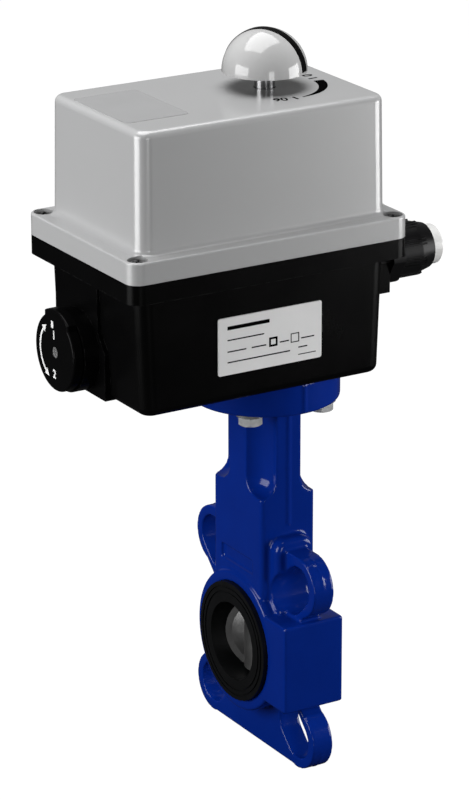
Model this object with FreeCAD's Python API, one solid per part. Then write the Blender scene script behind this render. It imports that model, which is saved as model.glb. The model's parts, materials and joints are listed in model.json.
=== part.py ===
"""A motorized butterfly valve: a wafer valve with a quarter-turn electric actuator on its neck.

The origin is the centre of the bore, on the axis of the stem. X runs along the pipe, towards the
cable glands. The rating plate is on the -Y side and the stem points up, along +Z. Millimetres.
"""
import FreeCAD
import Part
import math
import os

V = FreeCAD.Vector
UP = V(0, 0, 1)
ALONG = V(1, 0, 0)
ACROSS = V(0, 1, 0)
CENTRE = V(0, 0, 0)

# Running and fitting clearances, all radial
RUN_GAP = 0.05
FIT_GAP = 0.02
FREE_GAP = 0.4

# Valve, nominal size 32
BORE_RADIUS = 17.5
SEAT_WALL = 4.0
SEAT_LIP_WIDTH = 5.1
SEAT_LIP = 4.0
SEAT_GROOVES = 3
SEAT_GROOVE_WIDTH = 0.9
SEAT_GROOVE_DEPTH = 0.5
FACE_TO_FACE = 33.0
LINER_PROUD = 1.8
RING_WALL = 4.9
RING_ROUND = 1.2
BLOCK_PROUD = 9.5
BLOCK_HEIGHT = 39.8
BLOCK_ROUND = 0.8
BOLT_CIRCLE_OUTER = 100.0
BOLT_CIRCLE_INNER = 85.0
SLOT_WIDTH = 18.0
EAR_WALL = 4.4
EAR_THICKNESS = 10.0
EAR_ARM_HALF = 12.2
WEB_BELOW_BOLTS = 13.0
EAR_ROOT_REACH = 6.5
EAR_ROOT_THICKNESS = 19.0
EAR_ROOT_TOP = 53.5
EAR_ROOT_ROUND = 2.5
EAR_ROOT_CROWN = 6.0
NECK_X = 26.8
NECK_Y = 40.0
NECK_ROUND = 2.0
GROOVE_RADIUS = 11.7
GROOVE_LENGTH = 40.4
GROOVE_END_ROUND = 7.5
FLANGE_UNDERSIDE = 111.6
FLANGE_THICKNESS = 14.6
FLANGE_MARGIN = 7.5
FLANGE_ROUND = 1.2
FLANGE_BOLT_CIRCLE = 50.0
BOLT_DIAMETER = 6.0
BOLT_CLEARANCE = 0.3
BOLT_HEAD_FLATS = 10.0
BOLT_HEAD_HEIGHT = 4.0
WASHER_RADIUS = 6.2
WASHER_THICKNESS = 1.2
SPIGOT_RADIUS = 17.5
SPIGOT_HEIGHT = 2.8
SPIGOT_GAP = 0.2

# Stem and disc
STEM_DIAMETER = 12.5
STEM_SQUARE = 9.0
STEM_FLATS = 10.0
STEM_BORE_RADIUS = 8.0
STEM_SQUARE_LENGTH = 19.0
STEM_END_ABOVE_FLANGE = 13.0
STEM_TAIL = 6.5
STEM_POINTER_WIDTH = 1.0
MIDDLE_BUSH_LENGTH = 22.2
UPPER_BUSH_LENGTH = 20.0
STEM_SEAL_HEIGHT = 1.6
STEM_SEAL_SPACING = 3.0
CIRCLIP_RISE = 0.8
CIRCLIP_THICKNESS = 1.1
CIRCLIP_GROOVE = 0.8
DISC_GAP = 0.2
DISC_THICKNESS = 7.4
DISC_EDGE = 2.4
DISC_HUB_RADIUS = 8.6
DISC_REST_ANGLE = 50.0

# Actuator casing, with heights counted from the valve's top flange
HOUSING_LEFT = -82.5
HOUSING_RIGHT = 36.5
HOUSING_HALF_WIDTH = 38.5
HOUSING_HEIGHT = 51.3
END_DRAFT = 2.0
HOUSING_CORNER = 6.0
HOUSING_BOTTOM_ROUND = 3.5
CASING_WALL = 3.0
END_WALL = 5.0
CAVITY_DRAFT = 1.3
CAVITY_CORNER = 3.0
CAVITY_ROUND = 2.8
PILLAR_PAD_HEIGHT = 5.0
FLOOR_THICKNESS = 4.0
HUB_HEIGHT = 6.0
RIM_OVERHANG_LEFT = 6.8
RIM_OVERHANG_RIGHT = 7.3
RIM_OVERHANG_SIDE = 6.5
RIM_CORNER = 6.0
HOUSING_RIM = 8.4
COVER_RIM = 9.3
COVER_HEIGHT = 51.1
COVER_OVERHANG_RIGHT = 0.5
COVER_SETBACK_LEFT = 0.8
COVER_SETBACK_SIDE = 0.4
COVER_DRAFT = 0.7
COVER_CORNER = 6.0
COVER_TOP_ROUND = 3.0
COVER_FOOT_ROUND = 2.4
COVER_RIM_ROUND = 0.8
SCREW_INSET = 5.5
SCREW_RECESS_RADIUS = 4.2
SCREW_RECESS_DEPTH = 3.6
SCREW_RADIUS = 2.5
SCREW_HEAD_RADIUS = 3.9
SCREW_HEAD_HEIGHT = 2.8
GASKET_WIDTH = 2.4
GASKET_GROOVE_DEPTH = 1.5
GASKET_INSET = 8.0
PLATE_CENTRE_X = -21.0
PLATE_LENGTH = 50.0
PLATE_HEIGHT = 24.8
PLATE_RISE = 12.4
PLATE_THICKNESS = 0.5

# Output shaft, indicator and their bearings
SHAFT_LOWER_RADIUS = 11.0
SHAFT_GEAR_SEAT_RADIUS = 9.0
SHAFT_UPPER_RADIUS = 6.0
SHAFT_TOP_RADIUS = 4.35
DRIVE_SOCKET = 14.0
DRIVE_SOCKET_DEPTH = 18.0
BUSH_WALL = 3.0
OUTPUT_SEAL_HEIGHT = 3.2
DOME_RADIUS = 17.9
DOME_RISE = 7.1
DOME_WALL = 1.6
DOME_GRIP = 8.0
DOME_HUB_RADIUS = 7.0
STRIPE_WIDTH = 4.0
STRIPE_PROUD = 0.2
TOP_BOSS_RADIUS = 10.0
TOP_BOSS_DEPTH = 10.0
TOP_SEAL_WALL = 2.5
TOP_SEAL_HEIGHT = 2.1
TOP_LIP = 0.8
CAM_RADIUS = 10.5
CAM_LOBE_RADIUS = 14.5
CAM_LOBE_WIDTH = 12.0
CAM_THICKNESS = 5.0

# Gear train, from the output wheel back to the motor
PRESSURE_ANGLE = math.radians(20)
WHEEL_ADDENDUM = 0.75
PINION_ADDENDUM = 1.0
WHEEL_ROOT_DEPTH = 1.25
PINION_ROOT_DEPTH = 1.05
TOOTH_THINNING = 0.16
OUTPUT_MODULE = 1.0
OUTPUT_TEETH = 54
SECOND_MODULE = 0.8
CLUTCH_MODULE = 0.6
WHEEL_TEETH = 48
PINION_TEETH = 12
SECOND_DIRECTION = math.radians(165)
CLUTCH_DIRECTION = math.radians(220)
MOTOR_DIRECTION = math.radians(0)
LOWER_PLATE_RISE = 13.8
GEAR_PLATE_SPACING = 40.0
GEAR_PLATE_THICKNESS = 3.0
GEAR_PLATE_CORNER = 5.0
WHEEL_SPACING = 3.0
OUTPUT_GEAR_FACE = 12.0
OUTPUT_GEAR_WEB = 8.0
SECOND_WHEEL_FACE = 6.0
CLUTCH_WHEEL_FACE = 4.0
AXLE_RADIUS = 2.0
PILLAR_RADIUS = 4.0
PILLAR_NECK_RADIUS = 2.0
PILLAR_CLEARANCE = 0.5
PILLAR_BESIDE_WHEEL = 15.1
GEAR_PLATE_MARGIN = 10.7
GEAR_PLATE_SETBACK = 12.5
GEAR_PLATE_CLEARANCE = 1.5
DECK_CLEARANCE = 2.5
BOLT_BOSS_WALL = 2.0
PLATE_SCREW_RADIUS = 3.2
PLATE_SCREW_HEIGHT = 2.4
CLUTCH_HUB_RADIUS = 4.8

# Motor
MOTOR_RADIUS = 14.0
MOTOR_LENGTH = 38.0
MOTOR_WALL = 1.6
MOTOR_CAP_THICKNESS = 3.0
MOTOR_CAP_BOSS_RADIUS = 5.0
MOTOR_TAG_INSET = 6.0
MOTOR_TAG_THICKNESS = 0.8
MOTOR_TAG_WIDTH = 4.0
MOTOR_TAG_HEIGHT = 5.0
MOTOR_SHAFT_RADIUS = 1.5
ARMATURE_RADIUS = 8.5
ARMATURE_LENGTH = 18.0
ARMATURE_RISE = 8.0

# Selector knob and the fork that it lifts
KNOB_AXIS_Y = 11.0
KNOB_AXIS_RISE = 17.2
KNOB_RADIUS = 16.7
KNOB_THICKNESS = 4.4
KNOB_NOSE_RADIUS = 18.6
KNOB_NOSE_START = 0.62
KNOB_NOSE_END = 0.45
KNOB_EDGE_ROUND = 0.9
KNOB_GAP = 0.5
KNOB_SCREW_DEPTH = 1.6
KNOB_BOSS_RADIUS = 17.6
KNOB_BOSS_LENGTH = 6.9
PAD_PROUD = 0.9
PAD_REACH_NEAR_LOW = 21.6
PAD_REACH_NEAR_HIGH = 15.8
PAD_REACH_FAR = 20.0
PAD_SHOULDER_RISE = 11.0
PAD_SHOULDER_DROP = 8.0
SELECTOR_RADIUS = 4.0
SELECTOR_BOSS_WALL = 4.0
SELECTOR_BOSS_LENGTH = 7.0
SELECTOR_WEB_LENGTH = 6.7
SELECTOR_SEAL_WALL = 1.6
SELECTOR_SEAL_LENGTH = 2.0
FORK_THROW = 3.0
FORK_PIN_RADIUS = 1.5
FORK_SLOT_GAP = 0.25
FORK_THICKNESS = 2.0
FORK_EDGE = 4.0
FORK_PRONG = 3.0
FORK_GUIDE_OFFSET = 11.0
SPRING_WIRE = 1.2
SPRING_TURNS = 2

# Electrical parts
BOARD_RISE = 27.0
BOARD_THICKNESS = 1.6
BOARD_LEFT = -13.0
BOARD_EDGE_GAP = 5.0
BOARD_CORNER = 2.0
BOARD_POST_FLATS = 5.5
BOARD_POST_SPACING = 11.0
BOARD_SCREW_RADIUS = 1.5
BRACKET_THICKNESS = 1.5
BRACKET_FOOT = 4.0
SWITCH_LENGTH = 20.0
SWITCH_DEPTH = 10.0
SWITCH_HEIGHT = 6.0
SWITCH_PITCH = 8.0
SWITCH_RISE = 6.5
ROLLER_RADIUS = 2.2
LEVER_THICKNESS = 0.5
LEVER_HEIGHT = 3.6
TERMINAL_COUNT = 12
TERMINAL_PITCH = 5.0
TERMINAL_DEPTH = 10.0
TERMINAL_HEIGHT = 9.0
CAPACITOR_RADIUS = 9.0
CAPACITOR_HEIGHT = 34.0
CORE_LENGTH = 22.0
CORE_DEPTH = 28.0
CORE_HEIGHT = 24.0
CORE_WINDOW_DEPTH = 6.0
CORE_WINDOW_HEIGHT = 14.0
WINDING_PROUD = 1.5

# Cable entries
GLAND_OFFSET = 20.0
GLAND_BELOW_RIM = 5.3
GLAND_THREAD_RADIUS = 10.0
GLAND_THREAD_RUNOUT = 0.8
GLAND_HEX_FLATS = 24.0
GLAND_HEX_THICKNESS = 6.0
GLAND_NUT_RADIUS = 12.1
GLAND_NUT_FRONT_RADIUS = 9.9
GLAND_NUT_LENGTH = 16.8
GLAND_NUT_STRAIGHT = 9.7
GLAND_NUT_GAP = 0.2
GLAND_NUT_LIP = 4.0
GLAND_COLLET_RADIUS = 9.0
GLAND_COLLET_LENGTH = 11.0
GLAND_BORE_RADIUS = 6.5
GLAND_RIB_COUNT = 8
GLAND_RIB_WIDTH = 0.9
GLAND_RIB_HEIGHT = 0.4
GLAND_SEAL_WALL = 1.6
PLUG_RADIUS = 8.6
PLUG_HEAD = 5.2
PLUG_ROUND = 0.8
ENTRY_BOSS_MARGIN = 10.0
ENTRY_BOSS_BELOW = 14.6
LOCKNUT_THICKNESS = 4.5

# What follows from the sizes above
HALF_FACE = FACE_TO_FACE / 2
HALF_BODY = HALF_FACE - LINER_PROUD
SEAT_RADIUS = BORE_RADIUS + SEAT_WALL
SEAT_LIP_RADIUS = SEAT_RADIUS + SEAT_LIP_WIDTH
RING_RADIUS = SEAT_LIP_RADIUS + RING_WALL
EAR_CENTRE = BOLT_CIRCLE_OUTER / 2 * math.sqrt(0.5)
EAR_RADIUS = SLOT_WIDTH / 2 + EAR_WALL
FLANGE_TOP = FLANGE_UNDERSIDE + FLANGE_THICKNESS
FLANGE_RADIUS = FLANGE_BOLT_CIRCLE / 2 + FLANGE_MARGIN
FLANGE_BOLT_OFFSET = FLANGE_BOLT_CIRCLE / 2 * math.sqrt(0.5)
SPIGOT_BOTTOM = FLANGE_TOP - SPIGOT_HEIGHT
STEM_RADIUS = STEM_DIAMETER / 2
STEM_BOTTOM = -SEAT_RADIUS - STEM_TAIL
MIDDLE_BUSH_TOP = SEAT_RADIUS + FREE_GAP + MIDDLE_BUSH_LENGTH
CIRCLIP_HEIGHT = FLANGE_UNDERSIDE + CIRCLIP_RISE
FLOOR_TOP = FLANGE_TOP + FLOOR_THICKNESS
RIM_UNDERSIDE = FLANGE_TOP + HOUSING_HEIGHT
JOINT_HEIGHT = RIM_UNDERSIDE + HOUSING_RIM
COVER_RIM_TOP = JOINT_HEIGHT + COVER_RIM
COVER_TOP = COVER_RIM_TOP + COVER_HEIGHT
RIM_LEFT = HOUSING_LEFT - RIM_OVERHANG_LEFT
RIM_RIGHT = HOUSING_RIGHT + RIM_OVERHANG_RIGHT
RIM_HALF_WIDTH = HOUSING_HALF_WIDTH + RIM_OVERHANG_SIDE
COVER_LEFT = HOUSING_LEFT + COVER_SETBACK_LEFT
COVER_RIGHT = HOUSING_RIGHT + COVER_OVERHANG_RIGHT
COVER_HALF_WIDTH = HOUSING_HALF_WIDTH - COVER_SETBACK_SIDE
INNER_LEFT = HOUSING_LEFT + END_WALL
INNER_RIGHT = HOUSING_RIGHT - CASING_WALL
DOME_RIM_HEIGHT = COVER_TOP + DOME_RISE
SHAFT_END = DOME_RIM_HEIGHT + DOME_GRIP
HUB_TOP = FLOOR_TOP + HUB_HEIGHT
PILLAR_FOOT = FLOOR_TOP + PILLAR_PAD_HEIGHT
LOWER_PLATE_HEIGHT = FLOOR_TOP + LOWER_PLATE_RISE
LOWER_PLATE_TOP = LOWER_PLATE_HEIGHT + GEAR_PLATE_THICKNESS
UPPER_PLATE_HEIGHT = LOWER_PLATE_HEIGHT + GEAR_PLATE_SPACING
UPPER_PLATE_TOP = UPPER_PLATE_HEIGHT + GEAR_PLATE_THICKNESS
BOLT_BOSS_TOP = LOWER_PLATE_HEIGHT - GEAR_PLATE_THICKNESS
OUTPUT_GEAR_HEIGHT = LOWER_PLATE_TOP + WHEEL_SPACING
SECOND_WHEEL_HEIGHT = OUTPUT_GEAR_HEIGHT + OUTPUT_GEAR_FACE + WHEEL_SPACING
SECOND_WHEEL_TOP = SECOND_WHEEL_HEIGHT + SECOND_WHEEL_FACE
CLUTCH_WHEEL_HEIGHT = SECOND_WHEEL_TOP + WHEEL_SPACING
CLUTCH_WHEEL_TOP = CLUTCH_WHEEL_HEIGHT + CLUTCH_WHEEL_FACE
FORK_ARM_HEIGHT = SECOND_WHEEL_TOP + (WHEEL_SPACING - FORK_THICKNESS) / 2
FORK_ARM_TOP = FORK_ARM_HEIGHT + FORK_THICKNESS
KNOB_AXIS_Z = FLANGE_TOP + KNOB_AXIS_RISE
PAD_FACE = HOUSING_LEFT - PAD_PROUD
KNOB_BOSS_FACE = PAD_FACE - KNOB_BOSS_LENGTH
KNOB_BACK = KNOB_BOSS_FACE - KNOB_GAP
KNOB_FACE = KNOB_BACK - KNOB_THICKNESS
SELECTOR_INNER_FACE = INNER_LEFT + SELECTOR_BOSS_LENGTH - CASING_WALL
FORK_FACE = SELECTOR_INNER_FACE + SELECTOR_WEB_LENGTH + 2 * FREE_GAP
BOARD_HEIGHT = UPPER_PLATE_TOP + BOARD_RISE
BOARD_RIGHT = COVER_RIGHT - CASING_WALL - BOARD_EDGE_GAP / 2
BOARD_HALF_WIDTH = COVER_HALF_WIDTH - BOARD_EDGE_GAP
SWITCH_FRONT = CAM_LOBE_RADIUS + 2 * ROLLER_RADIUS
GLAND_HEIGHT = RIM_UNDERSIDE - GLAND_BELOW_RIM
GLAND_NUT_START = RIM_RIGHT + GLAND_HEX_THICKNESS + GLAND_NUT_GAP
GLAND_NUT_END = GLAND_NUT_START + GLAND_NUT_LENGTH
CORNER_SIGNS = [(1, 1), (-1, 1), (-1, -1), (1, -1)]


def step_from(start, distance, direction):
    """The point at a distance and a direction, in radians, from another on the plan."""
    return start + V(distance * math.cos(direction), distance * math.sin(direction), 0)


def centre_distance(module, wheel_teeth):
    return module * (wheel_teeth + PINION_TEETH) / 2


SECOND_AXIS = step_from(CENTRE, centre_distance(OUTPUT_MODULE, OUTPUT_TEETH), SECOND_DIRECTION)
CLUTCH_AXIS = step_from(SECOND_AXIS, centre_distance(SECOND_MODULE, WHEEL_TEETH), CLUTCH_DIRECTION)
MOTOR_AXIS = step_from(CLUTCH_AXIS, centre_distance(CLUTCH_MODULE, WHEEL_TEETH), MOTOR_DIRECTION)
PILLAR_Y = HOUSING_HALF_WIDTH - CASING_WALL - PILLAR_CLEARANCE - PILLAR_RADIUS
GEAR_PLATE_LEFT = CLUTCH_AXIS.x - GEAR_PLATE_MARGIN
GEAR_PLATE_RIGHT = INNER_RIGHT - GEAR_PLATE_SETBACK
GEAR_PLATE_HALF = HOUSING_HALF_WIDTH - CASING_WALL - GEAR_PLATE_CLEARANCE
PILLAR_RIGHT = GEAR_PLATE_RIGHT - PILLAR_RADIUS
PILLAR_PLACES = [V(PILLAR_RIGHT, PILLAR_Y, 0), V(SECOND_AXIS.x - PILLAR_BESIDE_WHEEL, PILLAR_Y, 0),
                 V(CLUTCH_AXIS.x, -PILLAR_Y, 0), V(PILLAR_RIGHT, -PILLAR_Y, 0)]
DECK_LEFT = INNER_LEFT + DECK_CLEARANCE
FORK_GUIDE_PLACE = V(FORK_FACE + FORK_THICKNESS + 2 * AXLE_RADIUS, KNOB_AXIS_Y + FORK_GUIDE_OFFSET, 0)
BOARD_POST_RIGHT = GEAR_PLATE_RIGHT - BOARD_POST_FLATS / 2
BOARD_POSTS = [V(BOARD_POST_RIGHT, PILLAR_Y - BOARD_POST_SPACING, 0),
               V(BOARD_POST_RIGHT, BOARD_POST_SPACING - PILLAR_Y, 0),
               V(BOARD_LEFT + BOARD_POST_FLATS, BOARD_POST_FLATS - GEAR_PLATE_HALF, 0)]


def box(x0, x1, y0, y1, z0, z1):
    return Part.makeBox(x1 - x0, y1 - y0, z1 - z0, V(x0, y0, z0))


def rod(radius, z0, z1, place=CENTRE):
    """An upright cylinder."""
    return Part.makeCylinder(radius, z1 - z0, V(place.x, place.y, z0), UP)


def rod_x(radius, x0, x1, y=0.0, z=0.0):
    """A cylinder that lies along the pipe."""
    return Part.makeCylinder(radius, x1 - x0, V(x0, y, z), ALONG)


def tube(outer, inner, z0, z1, place=CENTRE):
    return rod(outer, z0, z1, place).cut(rod(inner, z0, z1, place))


def tube_x(outer, inner, x0, x1, y=0.0, z=0.0):
    return rod_x(outer, x0, x1, y, z).cut(rod_x(inner, x0, x1, y, z))


def joined(first, *others):
    shape = first
    for other in others:
        shape = shape.fuse(other)
    return shape.removeSplitter()


def prism(points, direction):
    """A solid swept along a vector from a closed outline of points."""
    return Part.Face(Part.makePolygon(points + [points[0]])).extrude(direction)


def round_rectangle(x0, x1, y0, y1, corner, z):
    """A closed wire: a rectangle with rounded corners at one height."""
    edges = []
    centres = [(x1 - corner, y1 - corner), (x0 + corner, y1 - corner),
               (x0 + corner, y0 + corner), (x1 - corner, y0 + corner)]
    ends = []
    for turn, (x, y) in enumerate(centres):
        start = turn * 90
        arc = Part.ArcOfCircle(Part.Circle(V(x, y, z), UP, corner),
                               math.radians(start), math.radians(start + 90))
        ends.append((arc.StartPoint, arc.EndPoint))
        edges.append(arc.toShape())
    for turn in range(4):
        edges.append(Part.LineSegment(ends[turn][1], ends[(turn + 1) % 4][0]).toShape())
    return Part.Wire(Part.__sortEdges__(edges))


def tray(low, high, half_low, half_high, corner, z0, z1):
    """A block between two rounded rectangles; low and high are their (left, right) ends."""
    bottom = round_rectangle(low[0], low[1], -half_low, half_low, corner, z0)
    top = round_rectangle(high[0], high[1], -half_high, half_high, corner, z1)
    return Part.makeLoft([bottom, top], True, True)


def edges_at_height(shape, z):
    """The edges that lie flat at one height."""
    return [e for e in shape.Edges if all(abs(v.Z - z) < 1e-6 for v in e.Vertexes)]


def upright_edges(shape):
    found = []
    for edge in shape.Edges:
        if len(edge.Vertexes) == 2:
            run = edge.Vertexes[1].Point - edge.Vertexes[0].Point
            if abs(run.z) > 1e-6 and abs(run.x) < 1e-6 and abs(run.y) < 1e-6:
                found.append(edge)
    return found


def hexagon(flats, z0, z1, place=CENTRE):
    """An upright hexagonal prism."""
    radius = flats / math.sqrt(3)
    points = [V(place.x + radius * math.cos(k * math.pi / 3),
                place.y + radius * math.sin(k * math.pi / 3), z0) for k in range(6)]
    return prism(points, V(0, 0, z1 - z0))


def hexagon_x(flats, x0, x1, y, z):
    """A hexagonal prism that lies along the pipe."""
    radius = flats / math.sqrt(3)
    points = [V(x0, y + radius * math.cos(k * math.pi / 3),
                z + radius * math.sin(k * math.pi / 3)) for k in range(6)]
    return prism(points, V(x1 - x0, 0, 0))


def save(name, *solids):
    """Writes one sub-part, a solid or a group of like solids, to its own file."""
    shape = solids[0] if len(solids) == 1 else Part.makeCompound(list(solids))
    shape.exportStep("parts/%s.step" % name)
    print("%-22s %8.2f cm3  %s" % (name, shape.Volume / 1000, "ok" if shape.isValid() else "NOT VALID"))


# Valve


def slot(sign_y, sign_z):
    """A radial bolt slot that takes both bolt circles, cut through the ears."""
    outer = BOLT_CIRCLE_OUTER / 2
    inner = BOLT_CIRCLE_INNER / 2
    half = SLOT_WIDTH / 2
    depth = 2 * EAR_ROOT_THICKNESS
    turn = math.degrees(math.atan2(sign_z, sign_y))
    cut = box(-depth / 2, depth / 2, inner, outer, -half, half)
    for reach in (inner, outer):
        cut = cut.fuse(rod_x(half, -depth / 2, depth / 2, reach, 0))
    cut.rotate(CENTRE, ALONG, turn)
    return cut


def ear_plate():
    """The flat plate of the body: four slotted ears, their arms and the straight web below."""
    half = EAR_THICKNESS / 2
    web_bottom = -EAR_CENTRE - WEB_BELOW_BOLTS
    plate = box(-half, half, -EAR_CENTRE, EAR_CENTRE, web_bottom, -EAR_CENTRE / 2)
    plate = plate.fuse(box(-half, half, -EAR_CENTRE, EAR_CENTRE, EAR_CENTRE, EAR_CENTRE + EAR_RADIUS))
    for sign_y, sign_z in CORNER_SIGNS:
        arm = box(-half, half, 0, BOLT_CIRCLE_OUTER / 2, -EAR_ARM_HALF, EAR_ARM_HALF)
        arm.rotate(CENTRE, ALONG, math.degrees(math.atan2(sign_z, sign_y)))
        ear = rod_x(EAR_RADIUS, -half, half, sign_y * EAR_CENTRE, sign_z * EAR_CENTRE)
        plate = plate.fuse(arm).fuse(ear)
    return plate.removeSplitter()


def neck():
    """The square column under the actuator, with a round groove up each corner for the bolts."""
    column = box(-NECK_X / 2, NECK_X / 2, -NECK_Y / 2, NECK_Y / 2, 0, FLANGE_UNDERSIDE)
    column = column.makeFillet(NECK_ROUND, upright_edges(column))
    groove_bottom = FLANGE_UNDERSIDE - GROOVE_LENGTH
    for place in flange_bolt_places():
        groove = rod(GROOVE_RADIUS, groove_bottom, FLANGE_UNDERSIDE, place)
        column = column.cut(groove.makeFillet(GROOVE_END_ROUND, edges_at_height(groove, groove_bottom)))
    return column


def flange_bolt_places():
    return [V(sx * FLANGE_BOLT_OFFSET, sy * FLANGE_BOLT_OFFSET, 0) for sx, sy in CORNER_SIGNS]


def flange_bolt_holes(z0, z1, radius):
    return Part.makeCompound([rod(radius, z0, z1, place) for place in flange_bolt_places()])


def valve_body():
    ring = rod_x(RING_RADIUS, -HALF_BODY, HALF_BODY)
    ring = ring.makeFillet(RING_ROUND, [e for e in ring.Edges if len(e.Vertexes) == 1])
    block = box(-HALF_BODY, HALF_BODY, -RING_RADIUS - BLOCK_PROUD, 0, -BLOCK_HEIGHT / 2, BLOCK_HEIGHT / 2)
    block = block.makeFillet(BLOCK_ROUND, block.Edges)
    half = EAR_ROOT_THICKNESS / 2
    roots = box(-half, half, -NECK_Y / 2 - EAR_ROOT_REACH, NECK_Y / 2 + EAR_ROOT_REACH, 0, EAR_ROOT_TOP)
    roots = roots.makeFillet(EAR_ROOT_CROWN, [e for e in edges_at_height(roots, EAR_ROOT_TOP)
                                              if e.BoundBox.XLength < 1e-6])
    reach = NECK_Y / 2 + EAR_ROOT_REACH
    roots = roots.makeFillet(EAR_ROOT_ROUND, [e for e in roots.Edges if e.BoundBox.ZMax > 1
                                              and e.BoundBox.YLength < 1e-6
                                              and abs(abs(e.BoundBox.YMin) - reach) < 1e-6])
    flange = rod(FLANGE_RADIUS, FLANGE_UNDERSIDE, FLANGE_TOP)
    flange = flange.makeFillet(FLANGE_ROUND, [e for e in flange.Edges if len(e.Vertexes) == 1])
    body = joined(ring, block, ear_plate(), neck(), flange, roots)
    for sign_y, sign_z in CORNER_SIGNS:
        body = body.cut(slot(sign_y, sign_z))
    body = body.cut(rod_x(SEAT_RADIUS + FIT_GAP, -HALF_BODY - 1, HALF_BODY + 1))
    lip_cut = HALF_FACE - SEAT_LIP
    for start, end in ((-HALF_BODY - 1, -lip_cut), (lip_cut, HALF_BODY + 1)):
        body = body.cut(rod_x(SEAT_LIP_RADIUS + FIT_GAP, start, end))
    body = body.cut(rod(STEM_BORE_RADIUS + FIT_GAP, STEM_BOTTOM - FREE_GAP, FLANGE_TOP + 1))
    body = body.cut(rod(SPIGOT_RADIUS + SPIGOT_GAP, SPIGOT_BOTTOM - SPIGOT_GAP, FLANGE_TOP + 1))
    hole = BOLT_DIAMETER / 2 + BOLT_CLEARANCE
    return body.cut(flange_bolt_holes(FLANGE_UNDERSIDE - 1, FLANGE_TOP + 1, hole)).removeSplitter()


def seat_liner():
    """The rubber liner: a sleeve with a ribbed lip over each face of the body."""
    seat = rod_x(SEAT_RADIUS, -HALF_FACE, HALF_FACE)
    spacing = (SEAT_LIP_RADIUS - BORE_RADIUS) / (SEAT_GROOVES + 1)
    half = SEAT_GROOVE_WIDTH / 2
    for start, groove_start in ((-HALF_FACE, -HALF_FACE), (HALF_FACE - SEAT_LIP, HALF_FACE - SEAT_GROOVE_DEPTH)):
        lip = rod_x(SEAT_LIP_RADIUS, start, start + SEAT_LIP)
        for k in range(SEAT_GROOVES):
            reach = BORE_RADIUS + (k + 1) * spacing
            lip = lip.cut(tube_x(reach + half, reach - half, groove_start, groove_start + SEAT_GROOVE_DEPTH))
        seat = seat.fuse(lip)
    seat = seat.cut(rod_x(BORE_RADIUS, -HALF_FACE - 1, HALF_FACE + 1))
    stem_hole = rod(STEM_RADIUS + RUN_GAP, -RING_RADIUS, RING_RADIUS)
    return seat.cut(stem_hole).removeSplitter()


def disc():
    """The lens-shaped closing disc with its stem hub, modelled open and turned to the rest angle."""
    reach = BORE_RADIUS - DISC_GAP
    half = DISC_THICKNESS / 2
    ball = Part.makeSphere(reach)
    lens_radius = (reach ** 2 + half ** 2) / (2 * half)
    shift = lens_radius - half
    lens = Part.makeSphere(lens_radius, V(0, shift, 0)).common(Part.makeSphere(lens_radius, V(0, -shift, 0)))
    rim = Part.makeCylinder(reach, DISC_EDGE, V(0, -DISC_EDGE / 2, 0), ACROSS)
    hub = rod(DISC_HUB_RADIUS, -reach, reach)
    shape = lens.fuse(rim).fuse(hub).common(ball)
    shape = shape.cut(stem_core(FIT_GAP))
    shape.rotate(CENTRE, UP, -DISC_REST_ANGLE)
    return shape


def stem_core(gap):
    """The stretch of the stem inside the disc, with two flats that drive it."""
    reach = BORE_RADIUS + 1
    half = STEM_FLATS / 2 + gap
    wide = STEM_DIAMETER
    return rod(STEM_RADIUS + gap, -reach, reach).common(box(-half, half, -wide, wide, -reach, reach))


def stem():
    top = FLANGE_TOP + STEM_END_ABOVE_FLANGE
    square_foot = top - STEM_SQUARE_LENGTH
    half = STEM_SQUARE / 2
    wide = STEM_DIAMETER
    inside_disc = rod(STEM_RADIUS + 1, -BORE_RADIUS - 1, BORE_RADIUS + 1)
    shaft = rod(STEM_RADIUS, STEM_BOTTOM, square_foot).cut(inside_disc).fuse(stem_core(0))
    square = box(-half, half, -half, half, square_foot, top).common(rod(STEM_RADIUS, square_foot, top))
    pointer = box(-wide, wide, -STEM_POINTER_WIDTH / 2, STEM_POINTER_WIDTH / 2, top - 1, top)
    shaft = joined(shaft, square).cut(pointer)
    groove_radius = STEM_RADIUS - CIRCLIP_GROOVE
    groove = tube(STEM_RADIUS + 1, groove_radius, CIRCLIP_HEIGHT, CIRCLIP_HEIGHT + CIRCLIP_THICKNESS)
    shaft = shaft.cut(groove)
    shaft.rotate(CENTRE, UP, -DISC_REST_ANGLE)
    return shaft


def stem_bush(z0, z1):
    return tube(STEM_BORE_RADIUS, STEM_RADIUS + RUN_GAP, z0, z1)


def save_valve():
    save("valve_body", valve_body())
    save("seat_liner", seat_liner())
    save("valve_disc", disc())
    save("valve_stem", stem())
    save("lower_stem_bush", stem_bush(STEM_BOTTOM, -SEAT_RADIUS - FREE_GAP))
    save("middle_stem_bush", stem_bush(MIDDLE_BUSH_TOP - MIDDLE_BUSH_LENGTH, MIDDLE_BUSH_TOP))
    upper_bush_top = CIRCLIP_HEIGHT - FREE_GAP
    save("upper_stem_bush", stem_bush(upper_bush_top - UPPER_BUSH_LENGTH, upper_bush_top))
    lowest = MIDDLE_BUSH_TOP + FREE_GAP
    save("stem_seals", *[stem_bush(z, z + STEM_SEAL_HEIGHT) for z in (lowest, lowest + STEM_SEAL_SPACING)])
    clip_inner = STEM_RADIUS - CIRCLIP_GROOVE + RUN_GAP
    clip_top = CIRCLIP_HEIGHT + CIRCLIP_THICKNESS - RUN_GAP
    save("stem_circlip", tube(STEM_BORE_RADIUS, clip_inner, CIRCLIP_HEIGHT + RUN_GAP, clip_top))


# Casing


def cover_screw_places():
    """Where the four cover screws stand, near the corners of the rim."""
    reach_y = RIM_HALF_WIDTH - SCREW_INSET
    places = []
    for x in (RIM_LEFT + SCREW_INSET, RIM_RIGHT - SCREW_INSET):
        places += [V(x, -reach_y, 0), V(x, reach_y, 0)]
    return places


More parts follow.
